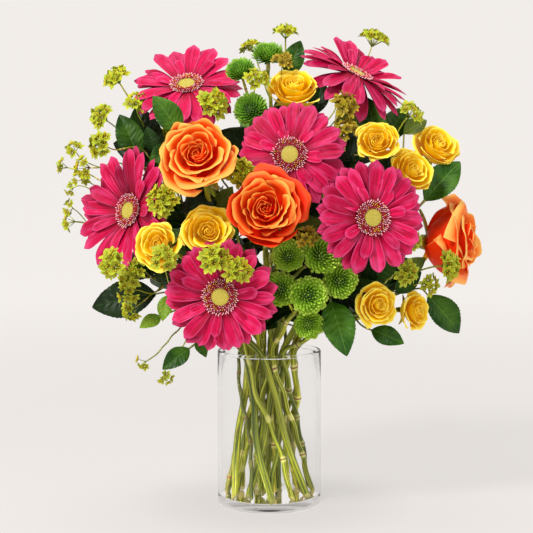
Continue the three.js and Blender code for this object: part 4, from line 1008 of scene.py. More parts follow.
def leafBlade(base, tip, side, seed, rows, wide=leafShape["wide"], arch=leafShape["arch"]):
    # One broad leaf: outline = sin(pi * along^0.85)^0.8 with a drawn-out tip, folded along its rib,
    # arched over its length, its edge waved and its skin raised a little between the side veins.
    # A leaf of many rows gets small teeth that lean towards the tip.
    length = np.linalg.norm(np.subtract(tip, base))
    v, u = alongAcross(rows, leafShape["cols"])
    along = v + 0.06 * np.sin(2 * math.pi * v)
    outline = np.sin(math.pi * np.clip(along, 0.012, 0.997) ** 0.85) ** 0.8
    if rows == leafShape["fine"]:
        outline = outline * (1 + 0.05 * (0.5 - (along * leafShape["teeth"]) % 1) * (v > 0.1) * (v < 0.97))
    half = length * wide * outline
    wave = 0.05 * length * np.sin(5 * along + 3 * u + seed) + 0.008 * length * np.sin(24 * along + 4 * seed)
    raised = np.cos(2 * math.pi * leafShape["quilts"] * (along - 0.12 * np.abs(u)))
    quilt = 0.006 * length * raised * (1 - u ** 4)
    fold = np.abs(u) * outline * (0.07 * length + wave)
    lift = length * arch * along * (1 - along) + fold + quilt * outline
    mid = stacked(u * half, along * length, lift)
    thick = leafShape["halfThick"] * (1 - u ** 4) * np.minimum(1, 10 * (1 - v)) * np.minimum(1, 10 * v)
    place = stacked(u, v, chance(seed, 5))
    blade = skin(mid[:, :, ::-1], thick[:, :, ::-1], place[:, :, ::-1], (1.0, 0.0, 0.0))
    return moved([blade], leafFrame(base, tip, side))


print("shapes ready")

# the ring and the place in it where each plant's own stem stands
stands = {
    "gerbera_top_left": ("outer", 5), "gerbera_top_right": ("outer", 1), "gerbera_middle": ("core", 0),
    "gerbera_right": ("inner", 8), "gerbera_left": ("outer", 7), "gerbera_back": ("outer", 3),
    "gerbera_low": ("outer", 9), "rose_left": ("inner", 5), "rose_middle": ("inner", 6),
    "rose_right": ("outer", 12), "spray_rose_right_stem": ("inner", 0), "spray_rose_left_stem": ("outer", 8),
    "spray_rose_low_stem": ("outer", 11), "spray_rose_top_stem": ("core", 1), "mums_top": ("core", 2),
    "mums_middle": ("core", 3), "mums_low": ("outer", 10), "bupleurum_left": ("inner", 3),
    "bupleurum_low": ("inner", 4), "bupleurum_top": ("core", 4), "bupleurum_back": ("inner", 7),
    "bupleurum_right": ("inner", 1), "leaves_left": ("outer", 4), "leaves_right": ("outer", 0),
    "leaves_top": ("outer", 2), "leaves_low": ("outer", 6), "leaves_back": ("inner", 2),
}

plants = {}  # each plant's stem ends, its own stem's first


def ahead(where, distance):
    # the point at this distance in front of a frame's origin
    return where[1] + where[0][:, 2] * distance


def addEnd(plant, where, behind, leaves, sizes, shift):
    # a stem's end behind a head, and what other plants' stems keep clear of: half sizes in its frame
    end = (ahead(where, -behind), where[0][:, 2], leaves, sizes, ahead(where, shift), where[0])
    plants.setdefault(plant, []).append(end)


calyxDepth, hipDepth = 17.3, 0.86  # where a stem ends: in millimetres, and as a share of a rose's radius
for head in gerberas:
    rad, cup = head["radius"], head["cup"]
    where = headFrame(head["at"], head["faces"])
    addEnd(head["name"], where, calyxDepth, 0, [rad, rad, 9 + cup * 0.4], cup * 0.25)
for head in roses:
    rad = head["radius"]
    where = headFrame(head["at"], head["faces"])
    addEnd(head["name"], where, hipDepth * rad, 0, [rad, rad, rad / 2], -0.15 * rad)
for name, heads in sprayRoses.items():
    for head in heads:
        rad = head["radius"]
        where, leaves = headFrame(head["at"], head["faces"]), head.get("leaves", 0)
        addEnd(name, where, hipDepth * rad, leaves, [rad, rad, 0.55 * rad], -0.15 * rad)
for name, heads in mums.items():
    for at, faces, rad, leaves in heads:
        addEnd(name, headFrame(at, faces), 0.3 * rad, leaves, [rad, rad, 0.7 * rad], 0)
for name, umbels in bupleurum.items():
    for at, faces, _, _, leaves in umbels:
        addEnd(name, headFrame(at, faces), 0, leaves, [14, 14, 7], 7)
for name, leafRows in leafSprays.items():
    for base, tip, _, leaves in leafRows:
        where = leafFrame(base, tip, leafSide(name))
        long, along = np.linalg.norm(np.subtract(tip, base)), where[0][:, 1]
        middle = where[1] + along * long / 2 + where[0][:, 2] * long * 0.08
        end = (where[1], along, leaves, [long * 0.3, long / 2, 5], middle, where[0])
        plants.setdefault(name, []).append(end)

# stems: straight in the vase, then in bows to the heads, and bent clear of one another
stemRadii = {  # for its clearance, of a plant's own stem and of its side stems
    "gerbera": (3.2, 0), "rose": (3.3, 0), "spray": (2.6, 1.7), "mums": (2.4, 1.7),
    "bupleurum": (1.9, 1.2), "leaves": (2.1, 1.3),
}
# how many stems each ring has room for, its radius in the mouth and at the feet, and its twist in degrees
rings = {"outer": (13, 28, 42, 80), "inner": (9, 18, 31, -90), "core": (5, 6, 9, 20)}
# the levels of the cut ends and of the mouth, the last straight step behind a head, and how many bends
# an own stem and a side stem have
stemShape = {"foot": 10.5, "mouth": 153.0, "step": 7, "bends": 5, "sideBends": 2}
# In the first part of the passes, eased, each point goes a share, ease, of the way to its neighbours'
# middle. Stems nearer than near are found once in watch passes and parted to gap, by mend of what is
# lacking in one pass. headGap is kept round the heads, and headPush is the longest push from one.
bending = {"passes": 160, "eased": 0.8, "ease": 0.12, "watch": 8, "near": 22, "gap": 1.6, "mend": 0.6,
           "headGap": 1, "headPush": 3}


def standing(name):
    # the cut end just above the glass floor, and the place in the mouth
    ring, place = stands[name]
    places, waist, foot, twist = rings[ring]
    high = place / places * 2 * math.pi
    low = high + math.radians(twist)
    return [np.array([foot * math.cos(low), foot * math.sin(low), stemShape["foot"]]),
            np.array([waist * math.cos(high), waist * math.sin(high), stemShape["mouth"]])]


def bowPoints(start, leaving, end, arriving, count):
    # the middle points of a cubic that leaves start along one way and reaches end along another
    reach = np.linalg.norm(end - start)
    t = np.linspace(0, 1, count + 2)[1:-1, None]
    near, far = start + leaving * reach * 0.35, end - arriving * reach * 0.4
    return (1 - t) ** 3 * start + 3 * (1 - t) ** 2 * t * near + 3 * (1 - t) * t ** 2 * far + t ** 3 * end


def layRoutes():
    # Every stem's points: [foot, mouth, 5 bends, the last straight step], or for a side stem
    # [the point that it leaves, 2 bends, the last straight step]; with what they have to keep clear of
    routes, blocks = [], []
    for name, ends in plants.items():
        own = stemRadii[name.split("_")[0]]
        for k, (end, arriving, leaves, size, shift, axes) in enumerate(ends):
            last = end - stemShape["step"] * arriving
            if k == 0:
                foot, mouth = standing(name)
                bends = bowPoints(mouth, unit(mouth - foot), last, arriving, stemShape["bends"])
                points = [foot, mouth, *bends, last, end]
                routes.append({"plant": name, "points": points, "radius": own[0], "free": 2, "leader": -1})
                leader = len(routes) - 1
            else:
                base = routes[leader]["points"]
                way = unit(base[leaves + 1] - base[leaves - 1])
                bends = bowPoints(base[leaves], way, last, arriving, stemShape["sideBends"])
                points = [base[leaves], *bends, last, end]
                routes.append({"plant": name, "points": points, "radius": own[1], "free": 1,
                               "leader": leader, "leaves": leaves})
            blocks.append((name, axes, shift, size))
    return routes, blocks


def nearest(a, b, c, d):
    # the shares along segments a-b and c-d of the two points where they come nearest
    u, v, w = b - a, d - c, a - c
    uu, uv, vv = (u * u).sum(1), (u * v).sum(1), (v * v).sum(1)
    uw, vw = (u * w).sum(1), (v * w).sum(1)
    s = np.clip((uv * vw - vv * uw) / np.maximum(uu * vv - uv * uv, 1e-9), 0, 1)
    t = np.clip((uv * s + vw) / vv, 0, 1)
    s = np.clip((uv * t - uw) / uu, 0, 1)
    return s, t


def bendClear(routes, blocks):
    # The free points are eased towards their neighbours' middle, and then parted from the other
    # plants' stems and heads, over and over, all stems at once
    starts = np.cumsum([0] + [len(r["points"]) for r in routes])
    p = np.concatenate([np.array(r["points"]) for r in routes])
    free = np.zeros(len(p))
    first, plant, radius = [], [], []
    names = sorted(plants)
    for r, low, high in zip(routes, starts[:-1], starts[1:]):
        free[low + r["free"]:high - 2] = 1
        first += range(low, high - 1)
        plant += [names.index(r["plant"])] * (high - 1 - low)
        radius += [r["radius"]] * (high - 1 - low)
    first, plant, radius = np.array(first), np.array(plant), np.array(radius)
    one, two = np.triu_indices(len(first), 1)
    keep = plant[one] != plant[two]
    one, two = one[keep], two[keep]
    moving = np.flatnonzero(free)
    tied = [(low, starts[r["leader"]] + r["leaves"]) for r, low in zip(routes, starts) if r["leader"] >= 0]
    tied = np.array(tied)
    where = np.array([b[1] for b in blocks])
    middle = np.array([b[2] for b in blocks])
    sizes = np.array([b[3] for b in blocks])
    owner = np.array([names.index(b[0]) for b in blocks])
    for step in range(bending["passes"]):
        p[tied[:, 0]] = p[tied[:, 1]]
        if step < bending["passes"] * bending["eased"]:
            p[moving] += bending["ease"] * ((p[moving - 1] + p[moving + 1]) / 2 - p[moving])
        if step % bending["watch"] == 0:
            a, b, c, d = p[first[one]], p[first[one] + 1], p[first[two]], p[first[two] + 1]
            s, t = nearest(a, b, c, d)
            apart = a + (b - a) * s[:, None] - c - (d - c) * t[:, None]
            close = np.linalg.norm(apart, axis=1) < bending["near"]
        i, j = one[close], two[close]
        a, b, c, d = p[first[i]], p[first[i] + 1], p[first[j]], p[first[j] + 1]
        s, t = nearest(a, b, c, d)
        apart = a + (b - a) * s[:, None] - c - (d - c) * t[:, None]
        gap = np.linalg.norm(apart, axis=1)
        short = np.maximum(radius[i] + radius[j] + bending["gap"] - gap, 0)[:, None]
        push = short * bending["mend"] * apart / gap[:, None]
        change = np.zeros_like(p)
        for k, share, way in ((i, s, 1), (j, t, -1)):
            np.add.at(change, first[k], push * way * (1 - share)[:, None])
            np.add.at(change, first[k] + 1, push * way * share[:, None])
        for share in (0, 0.33, 0.67):
            spots = p[first] * (1 - share) + p[first + 1] * share
            full = sizes[None] + radius[:, None, None] + bending["headGap"]
            local = np.einsum("ijk,jkl->ijl", spots[:, None] - middle[None], where) / full
            deep = np.maximum(1 - np.linalg.norm(local, axis=2), 0) * (plant[:, None] != owner[None])
            way = unit(np.einsum("ijl,jkl->ijk", local / full, where))
            far = np.minimum(bending["headPush"], deep * full[..., 2] + 0.2) * (deep > 0)
            push = (way * far[..., None]).sum(1)
            np.add.at(change, first, push * (1 - share))
            np.add.at(change, first + 1, push * share)
        p += change * free[:, None]
    p[tied[:, 0]] = p[tied[:, 1]]
    return [p[low:high] for low, high in zip(starts[:-1], starts[1:])]


routes, blocks = layRoutes()
lines = {}
for route, line in zip(routes, bendClear(routes, blocks)):
    lines.setdefault(route["plant"], []).append(line)
print("stems bent clear:", len(routes))


def smoothCurve(points, step):
    # A smooth line through the points: each stretch is a cubic whose slopes at its ends lean on the
    # stretches beside it, the shorter one most. Returns points every step and how far along they are.
    p = np.asarray(points, float)
    gaps = np.linalg.norm(np.diff(p, axis=0), axis=1)
    ways = np.diff(p, axis=0) / gaps[:, None]
    before, after = gaps[:-1, None], gaps[1:, None]
    slopes = np.vstack([ways[:1], (ways[:-1] * after + ways[1:] * before) / (before + after), ways[-1:]])
    ends = np.concatenate([[0], np.cumsum(gaps)])
    s = np.linspace(0, ends[-1], max(3, int(round(ends[-1] / step)) + 1))
    k = np.clip(np.searchsorted(ends, s, "right") - 1, 0, len(gaps) - 1)
    t = ((s - ends[k]) / gaps[k])[:, None]
    reach = gaps[k][:, None]
    line = ((2 * t ** 3 - 3 * t ** 2 + 1) * p[k] + (t ** 3 - 2 * t ** 2 + t) * reach * slopes[k]
            + (3 * t ** 2 - 2 * t ** 3) * p[k + 1] + (t ** 3 - t ** 2) * reach * slopes[k + 1])
    return line, s


def stalk(points, seed, thick, thin, sides=10, cut=False, joints=0.0, step=4.0, ribs=0.0):
    # A round stem along the smooth line through points, with a ring of points every step, whose radius
    # goes from thick to thin and swells by 0.3 at its joints. joints is the usual distance between them,
    # and the line sways aside a little once in each such distance. ribs raise every second side, and a
    # cut foot is sliced at a slant.
    line, s = smoothCurve(points, step)
    way = unit(np.gradient(line, axis=0))
    side = [unit(np.cross(way[0], [0.3, 1, 0.1]))]
    for turn in way[1:]:
        side.append(unit(side[-1] - turn * (side[-1] @ turn)))
    side = np.array(side)
    other = np.cross(way, side)
    radius = thick + (thin - thick) * s / s[-1]
    node = np.zeros_like(s)
    if joints:
        spots = np.cumsum(joints * (0.6 + 0.8 * chance(np.arange(int(s[-1] / joints)), seed)))
        node = np.exp(-((s[:, None] - spots) / 2.6) ** 2).max(1) if len(spots) else node
        kink = (0.5 - 0.5 * np.cos(2 * math.pi * np.minimum(1, np.abs(s / joints % 1)))) * joints * 0.045
        line = line + side * (kink * np.minimum(1, s / 30) * np.minimum(1, (s[-1] - s) / 30))[:, None]
    radius = radius * (1 + 0.3 * node)
    angle = roundAngles(sides)
    c, d = np.cos(angle)[None, :, None], np.sin(angle)[None, :, None]
    ribbed = 1 + ribs * (np.arange(sides) % 2)[None, :, None]
    rings = line[:, None] + (c * side[:, None] + d * other[:, None]) * radius[:, None, None] * ribbed
    place = stacked(c[..., 0], s[:, None] * mm, d[..., 0])
    tone = stacked(np.zeros((len(s), sides)), node[:, None], chance(seed, 7))
    if cut:
        rings[0] += way[0] * (radius[0] * 1.1 * np.cos(angle + seed))[:, None]
        tone[0, :, 0] = 1
    return tube(rings[None], place[None], tone[None])


# each kind's own stem, its side stems, and the stalks of what the part's own solids leave out
stalkShapes = {
    "gerbera": {"own": {"thick": 3.3, "thin": 3.0, "sides": 12, "ribs": 0.04}},
    "rose": {"own": {"thick": 3.3, "thin": 2.4, "joints": 48}},
    "spray": {"own": {"thick": 2.6, "thin": 1.8, "joints": 42},
              "side": {"thick": 1.7, "thin": 1.4, "joints": 30}},
    "mums": {"own": {"thick": 2.4, "thin": 1.8, "joints": 36},
             "side": {"thick": 1.5, "thin": 1.2, "joints": 24}},
    "bupleurum": {"own": {"thick": 1.9, "thin": 0.8, "sides": 8, "joints": 30},
                  "side": {"thick": 0.9, "thin": 0.6, "sides": 7, "joints": 22},
                  "small": {"thick": 0.8, "thin": 0.5, "sides": 6, "step": 5}},
    "leaves": {"own": {"thick": 2.1, "thin": 1.2, "sides": 8, "joints": 26},
               "side": {"thick": 1.2, "thin": 0.8, "sides": 7, "joints": 18},
               "small": {"thick": 1.0, "thin": 0.8, "sides": 6}},
}
stemSway = {"outer": 3.5, "inner": 2.5, "core": 0.8}


def wholeLine(name):
    # a plant's own stem, with two more points between its foot and the mouth, where it sways a little
    line = lines[name][0]
    ring, place = stands[name]
    sway = stemSway[ring] * (-1) ** place
    aside = unit(np.cross(line[1] - line[0], line[0] * [1, 1, 0])) * sway
    low, high = (line[0] + (line[1] - line[0]) * share for share in (0.38, 0.75))
    return [line[0], low + aside, high - aside, *line[1:]]


def grown(name, k, seed):
    # the stem of a plant's head number k: its own stem with a cut foot for 0, and then its side stems
    shapes = stalkShapes[name.split("_")[0]]
    if k == 0:
        return stalk(wholeLine(name), seed, cut=True, **shapes["own"])
    return stalk(lines[name][k], seed, **shapes["side"])


def calyx(where, seed):
    # The green cup behind a gerbera's petals, with two rows of narrow pointed bracts that follow it:
    # half width = 1.15 * (1 - v^1.8), and the distance from the middle is read off the cup's outline
    profile = [(2.6, -17.4), (3.4, -17.2), (5.0, -14.5), (7.6, -10.8), (9.6, -6.5), (10.2, -4.0), (3, -3.2)]
    parts = [lathe(profile, 24, (1, 0, 0), (0, 0, 0.3))]
    v, u = alongAcross(5, 3)
    for row, (count, low, long) in enumerate([(21, -14.5, 9.0), (22, -11.0, 9.5)]):
        i = np.arange(count)
        pick = chance(i, seed + row)[:, None, None]
        half = 1.15 * (1 - v ** 1.8)
        height = low + long * v * (0.9 + 0.2 * pick)
        out = np.interp(height, [-15, -10.8, -6.5, -4, 0], [5.4, 8.0, 10.2, 11.0, 12.2])
        mid = stacked(u * half, out + 0.3 - 0.3 * np.abs(u), height)
        mid = turnedAboutZ(mid, i / count * 2 * math.pi + 0.15 * row)
        thick = 0.25 * (1 - np.abs(u)) * (1 - v)
        parts.append(skin(mid, thick, stacked(1.0, 0.01 * v, 0.0), stacked(0.0, 0.5 * (v > 0.8), pick)))
    return moved(parts, where)


def hip(where, scale, seed):
    # The round hip behind a rose and its five sepals, which lie back along the outer petals:
    # half width = 0.15 * sin(pi * (0.9 * v + 0.1))^0.7, less towards the tip, and a sepal bends by v^2
    profile = [(0.05, -0.9), (0.11, -0.86), (0.17, -0.74), (0.15, -0.6), (0.05, -0.55)]
    cup = lathe(scale * np.array(profile), 12, (1, 0, 0), (0, 0, 0.3))
    i = np.arange(5)
    v, u = alongAcross(7, 5)
    pick = chance(i, seed)[:, None, None]
    half = scale * 0.15 * np.sin(np.clip(v * 0.9 + 0.1, 0, 1) * math.pi) ** 0.7 * (1 - 0.4 * v)
    out = scale * (0.1 + (0.55 + 0.2 * pick) * v)
    height = scale * (-0.64 - (0.16 - 0.5 * (pick - 0.3)) * v ** 2 + 0.05 * np.abs(u))
    mid = turnedAboutZ(stacked(u * half, out, height), (i + 0.3 * chance(i, seed + 1)) / 5 * 2 * math.pi)
    thick = 0.25 * (1 - u ** 2) * (v < 1) * (v > 0)
    place, tone = stacked(1.0, 0.015 * v, 0.0), stacked(0.0, 0.3 * v ** 2, pick)
    return moved([cup, skin(mid[:, :, ::-1], thick, place, tone)], where)


print("building the gerberas")
for n, head in enumerate(gerberas):
    where = headFrame(head["at"], head["faces"])
    name, seed = head["name"], 17 * n + 3
    rays, florets = moved(gerberaPetals(head, seed), where), moved(gerberaEye(seed), where)
    addPiece(name + "_rays", rays, pinkPetal, [name + "_petals"])
    addPiece(name + "_florets", florets, eyeTints, [name + "_eye"])
    parts = [grown(name, 0, seed), *calyx(where, seed)]
    addPiece(name + "_stalk", parts, stemGreen, [name + "_stem"])

print("building the roses")
roseFinishes = {"rose_left": orangePetal, "rose_middle": redOrangePetal, "rose_right": peachPetal}
for n, head in enumerate(roses):
    where = headFrame(head["at"], head["faces"])
    name, seed = head["name"], 31 * n + 5
    bloom = moved(rosePetals(head, roseShape, seed), where)
    addPiece(name + "_petals", bloom, roseFinishes[name], [name + "_bloom"])
    parts = [grown(name, 0, seed), *hip(where, head["radius"], seed)]
    addPiece(name + "_stalk", parts, stemGreen, [name + "_stem"])

for n, (name, heads) in enumerate(sprayRoses.items()):
    parts = []
    for k, head in enumerate(heads):
        where = headFrame(head["at"], head["faces"])
        seed = 13 * n + 7 * k + 11
        bloom = moved(rosePetals(dict(head, turn=1.7 * k + n), sprayRoseShape, seed), where)
        addPiece(head["name"] + "_petals", bloom, yellowPetal, [head["name"]])
        parts += [grown(name, k, seed), *hip(where, head["radius"], seed)]
    addPiece(name.replace("_stem", "_stalk"), parts, stemGreen, [name])

print("building the mums")
for n, (name, heads) in enumerate(mums.items()):
    tops, parts = [], []
    for k, (at, faces, rad, _) in enumerate(heads):
        seed = 19 * n + 5 * k + 2
        tops += moved(mumHead(rad, seed), headFrame(at, faces))
        parts.append(grown(name, k, seed))
    # the mums at the top are a deeper green
    finish = mumDeep if name == "mums_top" else mumGreen
    addPiece(name + "_heads", tops, finish, [name])
    addPiece(name + "_stalks", parts, stemGreen, [name])

print("building the bupleurum")
for n, (name, umbels) in enumerate(bupleurum.items()):
    stars, brown, parts = [], [], []
    for k, (at, faces, rays, size, leaves) in enumerate(umbels + smallUmbels[name]):
        seed = 23 * n + 7 * k + 1
        target = brown if tuple(at) in brownUmbels else stars
        target += umbelParts(at, faces, rays, size, seed)
        if k < len(umbels):
            parts.append(grown(name, k, seed))
        else:
            # a thin stalk that sags a little and arrives straight
            start, end = lines[name][0][leaves], np.array(at, float)
            middle = (start + end) / 2 + [0, 0, -0.08 * np.linalg.norm(end - start)]
            route = [start, middle, end - 5 * unit(faces), end]
            parts.append(stalk(route, seed, **stalkShapes["bupleurum"]["small"]))
    addPiece(name + "_umbels", stars, bractGreen, [name])
    if brown:
        addPiece(name + "_brown", brown, bractOlive, [name])
    addPiece(name + "_stalks", parts, stemGreen, [name])

print("building the leaves")
for n, (name, leafRows) in enumerate(leafSprays.items()):
    blades, parts = {finish: [] for finish in leafFinishes}, []
    for k, (base, tip, finish, leaves) in enumerate(leafRows + smallLeaves.get(name, [])):
        seed = 5 * k + 3 * n
        blades[finish] += leafBlade(base, tip, leafSide(name), seed, leafShape["fine"])
        if k < len(leafRows):
            parts.append(grown(name, k, seed))
        else:
            start, end = lines[name][0][leaves], np.array(base, float)
            route = [start, (start + end) / 2 - [0, 0, 2], end]
            parts.append(stalk(route, seed, **stalkShapes["leaves"]["small"]))
    for finish, made in blades.items():
        if made:
            addPiece(name + "_" + finish.name, made, finish, [name])
    addPiece(name + "_twigs", parts, twigBrown, [name])

# Leaves that fill the gaps: they grow from the stems' bends between two levels, keep inside a round
# form about the middle, and none may cut into a head or come in front of one that looks to the front.
# apart is the least distance of their middles, and dark and green are the chances below which a leaf
# takes those colours; the dark one is partly painted shade for leaves deep inside the bouquet.
fillShape = {"tries": 14000, "keep": 300, "long": (28, 60), "levels": (178, 400), "apart": 8, "fan": 2.6,
             "middle": (5, 0, 285), "reach": (146, 120, 128), "wide": (0.26, 0.06), "arch": 0.2,
             "dark": 0.6, "green": 0.87}


def headBlocks():
    # every head: its middle, its facing, its radius and half its depth
    blocks = [(h["at"], h["faces"], h["radius"], 9 + 0.3 * abs(h["cup"])) for h in gerberas]
    blooms = roses + [head for heads in sprayRoses.values() for head in heads]
    blocks += [(h["at"], h["faces"], h["radius"], 0.6 * h["radius"]) for h in blooms]
    return blocks + [(at, faces, rad, 0.7 * rad) for heads in mums.values() for at, faces, rad, _ in heads]


def fillLeaves():
    # Many leaves are tried: base is a bend, way = outward + a share sideways and upwards, by chance.
    # Those that reach into a head's ellipsoid or pass in front of it are dropped, and then those whose
    # middles are too close to one that is kept.
    shape, heads = fillShape, headBlocks()
    frames = [headFrame(at, faces) for at, faces, _, _ in heads]
    turns = np.array([f[0] for f in frames])
    middles = np.array([f[1] for f in frames])
    sizes = np.array([[rad + 1, rad + 1, deep + 1] for _, _, rad, deep in heads])
    forward = turns[:, 1, 2] < -0.25
    starts = np.concatenate([line for group in lines.values() for line in group])
    starts = starts[(starts[:, 2] > shape["levels"][0]) & (starts[:, 2] < shape["levels"][1])]
    i = np.arange(shape["tries"])
    base = starts[(chance(i, 1) * len(starts)).astype(int)]
    outward = unit(base * [1, 1, 0] + 1e-6)
    around = (chance(i, 2) - 0.5)[:, None] * shape["fan"]
    sideways = np.stack([-outward[:, 1], outward[:, 0], 0 * i], 1)
    upward = [0, 0, 1.0] * (chance(i, 4)[:, None] - 0.25)
    way = unit(outward * (0.4 + chance(i, 3)[:, None]) + sideways * around + upward)
    shortest, longest = shape["long"]
    long = shortest + (longest - shortest) * chance(i, 5)
    tip = base + way * long[:, None]
    samples = []
    for along in (0.1, 0.3, 0.5, 0.7, 0.9, 1.0):
        for across in (-1, 0, 1):
            wide = 0.28 * math.sin(math.pi * min(0.98, along)) * across
            samples.append(base + way * (long * along)[:, None] + sideways * (long * wide)[:, None])
    samples = np.stack(samples, 1)
    offset = samples[:, :, None] - middles
    local = np.einsum("ijkl,klm->ijkm", offset, turns) / sizes
    inside = (local ** 2).sum(-1) < 1
    before = forward & (np.hypot(offset[..., 0], offset[..., 2]) < sizes[:, 0] * 0.92) & (offset[..., 1] < 4)
    low, high = np.array(cadBox[0]) / mm, np.array(cadBox[1]) / mm
    out = ((samples < low + 2) | (samples > high - 2)).any((1, 2))
    beyond = (samples - shape["middle"]) / shape["reach"]
    out |= ((beyond ** 2).sum(-1) > 1).any(1)
    kept, centres = [], []
    for k in np.flatnonzero(~(inside.any((1, 2)) | before.any((1, 2)) | out)):
        centre = base[k] + way[k] * long[k] * 0.5
        if all(np.linalg.norm(centre - other) > shape["apart"] for other in centres):
            kept.append(int(k))
            centres.append(centre)
        if len(kept) >= shape["keep"]:
            break
    blades = {finish: [] for finish in leafFinishes}
    for k in kept:
        side = outward[k] * 0.8 + [0, -0.25, 0.55]
        pick = chance(k, 6)
        finish = leafDarkShaded if pick < shape["dark"] else leafGreen if pick < shape["green"] else leafOlive
        wide = shape["wide"][0] + shape["wide"][1] * chance(k, 8)
        blades[finish] += leafBlade(base[k], tip[k], side, k, leafShape["plain"], wide, shape["arch"])
    return blades


for finish, made in fillLeaves().items():
    if made:
        addPiece("fill_" + finish.name, made, finish)
        print(finish.name, "fill leaves:", len(made))

# the vase and its water, turned finely
# foot is the width of the ring that the vase stands on, edge the radius of the rounded edges, gap the
# water's distance from the wall and line the half thickness of the ring with a painted highlight round it
vaseShape = {"radius": 50.8, "wall": 2.8, "height": 152.0, "floor": 8.0, "edge": 3.0, "sides": 128,
             "foot": 12.0, "level": 149.0, "gap": 0.15, "line": 0.38}
heights = (40, 80, 120)  # of the rings between the wall's ends


def rounded(centre, radius, first, last, steps=6):
    # part of a circle in the profile, from one angle to another in degrees
    angles = np.radians(np.linspace(first, last, steps))
    return [(centre[0] + radius * math.cos(a), centre[1] + radius * math.sin(a)) for a in angles]


def vaseProfile(shape, outer, inner):
    # (radius, height) from the middle underneath, up the outside, over the lip and down to the floor
    edge, foot, lip = shape["edge"], shape["foot"], shape["wall"] / 2
    top, floor = shape["height"], shape["floor"]
    return ([(0.4, 0.5), (outer - foot - 2, 0.3), (outer - foot, 0.0)]
            + rounded((outer - edge, edge), edge, -90, 0) + [(outer, high) for high in heights]
            + rounded((outer - lip, top - lip), lip, 0, 180, 9) + [(inner, high) for high in heights[::-1]]
            + rounded((inner - edge, floor + edge), edge, 0, -90)
            + [(inner - foot, floor - 0.5), (0.4, floor - 0.9)])


def waterProfile(shape, inner, wet):
    # the same for the water, a hair inside the glass, whose top rises a little where it meets the wall
    edge, floor, level = shape["edge"], shape["floor"], shape["level"]
    return ([(0.4, floor - 0.7), (inner - shape["foot"], floor - 0.3)]
            + rounded((wet - edge, floor + 0.2 + edge), edge, -90, 0) + [(wet, high) for high in heights]
            + [(wet, level), (wet - 0.7, level - 0.5), (wet - 2.5, level - 0.8), (0.4, level - 0.8)])


def hoop(radius, level, thick, sides, around=8):
    # A closed ring about Z that is round in section: (radius + thick * cos(bend)) out from the middle
    # and level + thick * sin(bend) high, where bend goes round the section
    turn, bend = roundAngles(sides)[:, None], roundAngles(around)[None, :]
    out = radius + thick * np.cos(bend)
    points = stacked(out * np.cos(turn), out * np.sin(turn), level + thick * np.sin(bend)).reshape(-1, 3)
    grid = np.arange(sides * around).reshape(sides, around)
    after, right = np.roll(grid, -1, 0), np.roll(grid, -1, 1)
    both = np.roll(after, -1, 1)
    faces = np.concatenate([np.stack([grid, after, both], -1).reshape(-1, 3),
                            np.stack([grid, both, right], -1).reshape(-1, 3)])
    none = np.zeros_like(points)
    return {"points": points, "faces": faces, "rim": np.zeros(len(points), bool), "place": none, "tone": none}


outer, inner, sides = vaseShape["radius"], vaseShape["radius"] - vaseShape["wall"], vaseShape["sides"]
wet, level = inner - vaseShape["gap"], vaseShape["level"]
addPiece("vase_glass", [lathe(vaseProfile(vaseShape, outer, inner), sides)], glassClear, ["vase"])
addPiece("vase_water", [lathe(waterProfile(vaseShape, inner, wet), sides)], waterClear, ["water"])
# where the water meets the wall a thin ring runs round, with a painted highlight that glows a little
waterline = hoop(wet - 0.7, level - 0.35, vaseShape["line"], sides)
addPiece("vase_waterline", [waterline], waterGlintPainted, ["water"])
print("vase made")

# The stand-in room: a pale floor that curves up into a wall, with its sizes in metres. The paper gives
# off part of its own light, which changes with the distance from the foot of the vase; close round the
# foot its dimmer glow is a painted shadow.
roomShape = {"flat": 2.2, "bend": 2.4, "angles": (0.12, 1.4), "steps": 14, "sides": 48,
             "paper": (0.2, 0.191, 0.184, 1), "near": (206, 202, 199), "far": (227, 223, 220),
             "foot": (196, 192, 189), "spread": (0.3, 2.4), "footShadowSpread": (0.16, 0.06)}


def roomMesh(shape):
    # rings of points at (flat + bend * sin(angle), bend - bend * cos(angle)), and one disc inside them
    flat, bend, sides = shape["flat"], shape["bend"], shape["sides"]
    angles = np.linspace(*shape["angles"], shape["steps"])
    curve = np.array([[flat, 0.0]] + [[flat + bend * math.sin(a), bend - bend * math.cos(a)] for a in angles])
    around = roundAngles(sides)
    points = stacked(curve[:, :1] * np.cos(around), curve[:, :1] * np.sin(around), curve[:, 1:])
    sheets = [[a + j, a + sides + j, a + sides + (j + 1) % sides, a + (j + 1) % sides]
              for a in range(0, (len(curve) - 1) * sides, sides) for j in range(sides)]
    sheets.append(list(range(sides)))
    room = bpy.data.meshes.new("paleRoom")
    room.from_pydata(points.reshape(-1, 3).tolist(), [], sheets)
    room.polygons.foreach_set("use_smooth", np.ones(len(sheets), bool))
    return room


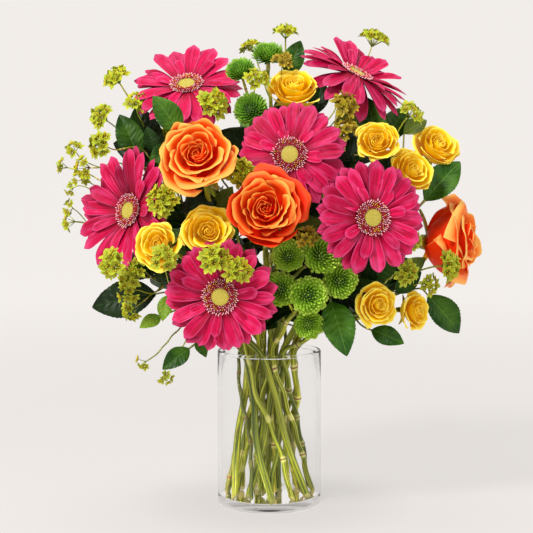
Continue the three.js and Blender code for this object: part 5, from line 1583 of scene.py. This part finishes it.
def paperFinish(name, look):
    # the floor and the walls glow more with the distance, and less close round the foot of the vase, where
    # the dimmer glow is a painted shadow
    paper, t, shader = startFinish(name, 0.9, 0.1)
    shader.inputs["Base Color"].default_value = look["paper"]
    spot = t.add("ShaderNodeTexCoord").outputs["Object"]
    away = t.add("ShaderNodeVectorMath", {0: spot}, operation="LENGTH").outputs["Value"]
    glow = t.mix(t.spread(away, *look["spread"]), colour(*look["near"]), colour(*look["far"]))
    # painted shadow: a darker glow close round the foot of the vase
    glow = t.mix(t.spread(away, *look["footShadowSpread"]), glow, colour(*look["foot"]))
    t.link(glow, shader.inputs["Emission Color"])
    shader.inputs["Emission Strength"].default_value = 1.0
    return paper


backdrop = bpy.data.objects.new("backdrop", roomMesh(roomShape))
backdrop.data.materials.append(paperFinish("palePaper", roomShape))
bpy.context.scene.collection.objects.link(backdrop)

# soft round lights: place and target in metres, size across, power in watts and tint
studioLights = {
    "keyLight": {"at": (-1.0, -1.3, 1.7), "target": (0, 0, 0.26), "size": 0.5, "power": 40,
                 "tint": (1, 0.98, 0.95)},
    "fillLight": {"at": (1.5, -1.0, 0.9), "target": (0, 0, 0.25), "size": 1.4, "power": 6,
                  "tint": (0.96, 0.98, 1)},
    "topLight": {"at": (0.1, 0.3, 1.9), "target": (0, 0, 0.3), "size": 1.0, "power": 10, "tint": (1, 1, 1)},
}
for name, look in studioLights.items():
    lamp = bpy.data.lights.new(name, "AREA")
    lamp.shape = "DISK"
    lamp.size = look["size"]
    lamp.energy = look["power"]
    lamp.color = look["tint"]
    light = bpy.data.objects.new(name, lamp)
    light.location = look["at"]
    light.rotation_euler = (Vector(look["target"]) - Vector(look["at"])).to_track_quat("-Z", "Y").to_euler()
    bpy.context.scene.collection.objects.link(light)

softAir = {"tint": (1.0, 0.985, 0.97, 1), "strength": 0.3}
world = bpy.data.worlds.new("softAir")
bpy.context.scene.world = world
world.use_nodes = True
world.node_tree.nodes["Background"].inputs["Color"].default_value = softAir["tint"]
world.node_tree.nodes["Background"].inputs["Strength"].default_value = softAir["strength"]
bpy.context.scene.view_settings.view_transform = "Standard"

# the camera, in metres and degrees: it looks down a little at the middle of the whole
photoView = {"lens": 95.4, "sensor": 36, "near": 0.05, "at": (-0.0027, -1.379, 0.336), "down": 4.25}
camera = bpy.data.cameras.new("camera")
camera.lens = photoView["lens"]
camera.sensor_width = photoView["sensor"]
camera.clip_start = photoView["near"]
view = bpy.data.objects.new("camera", camera)
view.location = photoView["at"]
view.rotation_euler = (math.radians(90 - photoView["down"]), 0, 0)
bpy.context.scene.collection.objects.link(view)
bpy.context.scene.camera = view
print("room made")
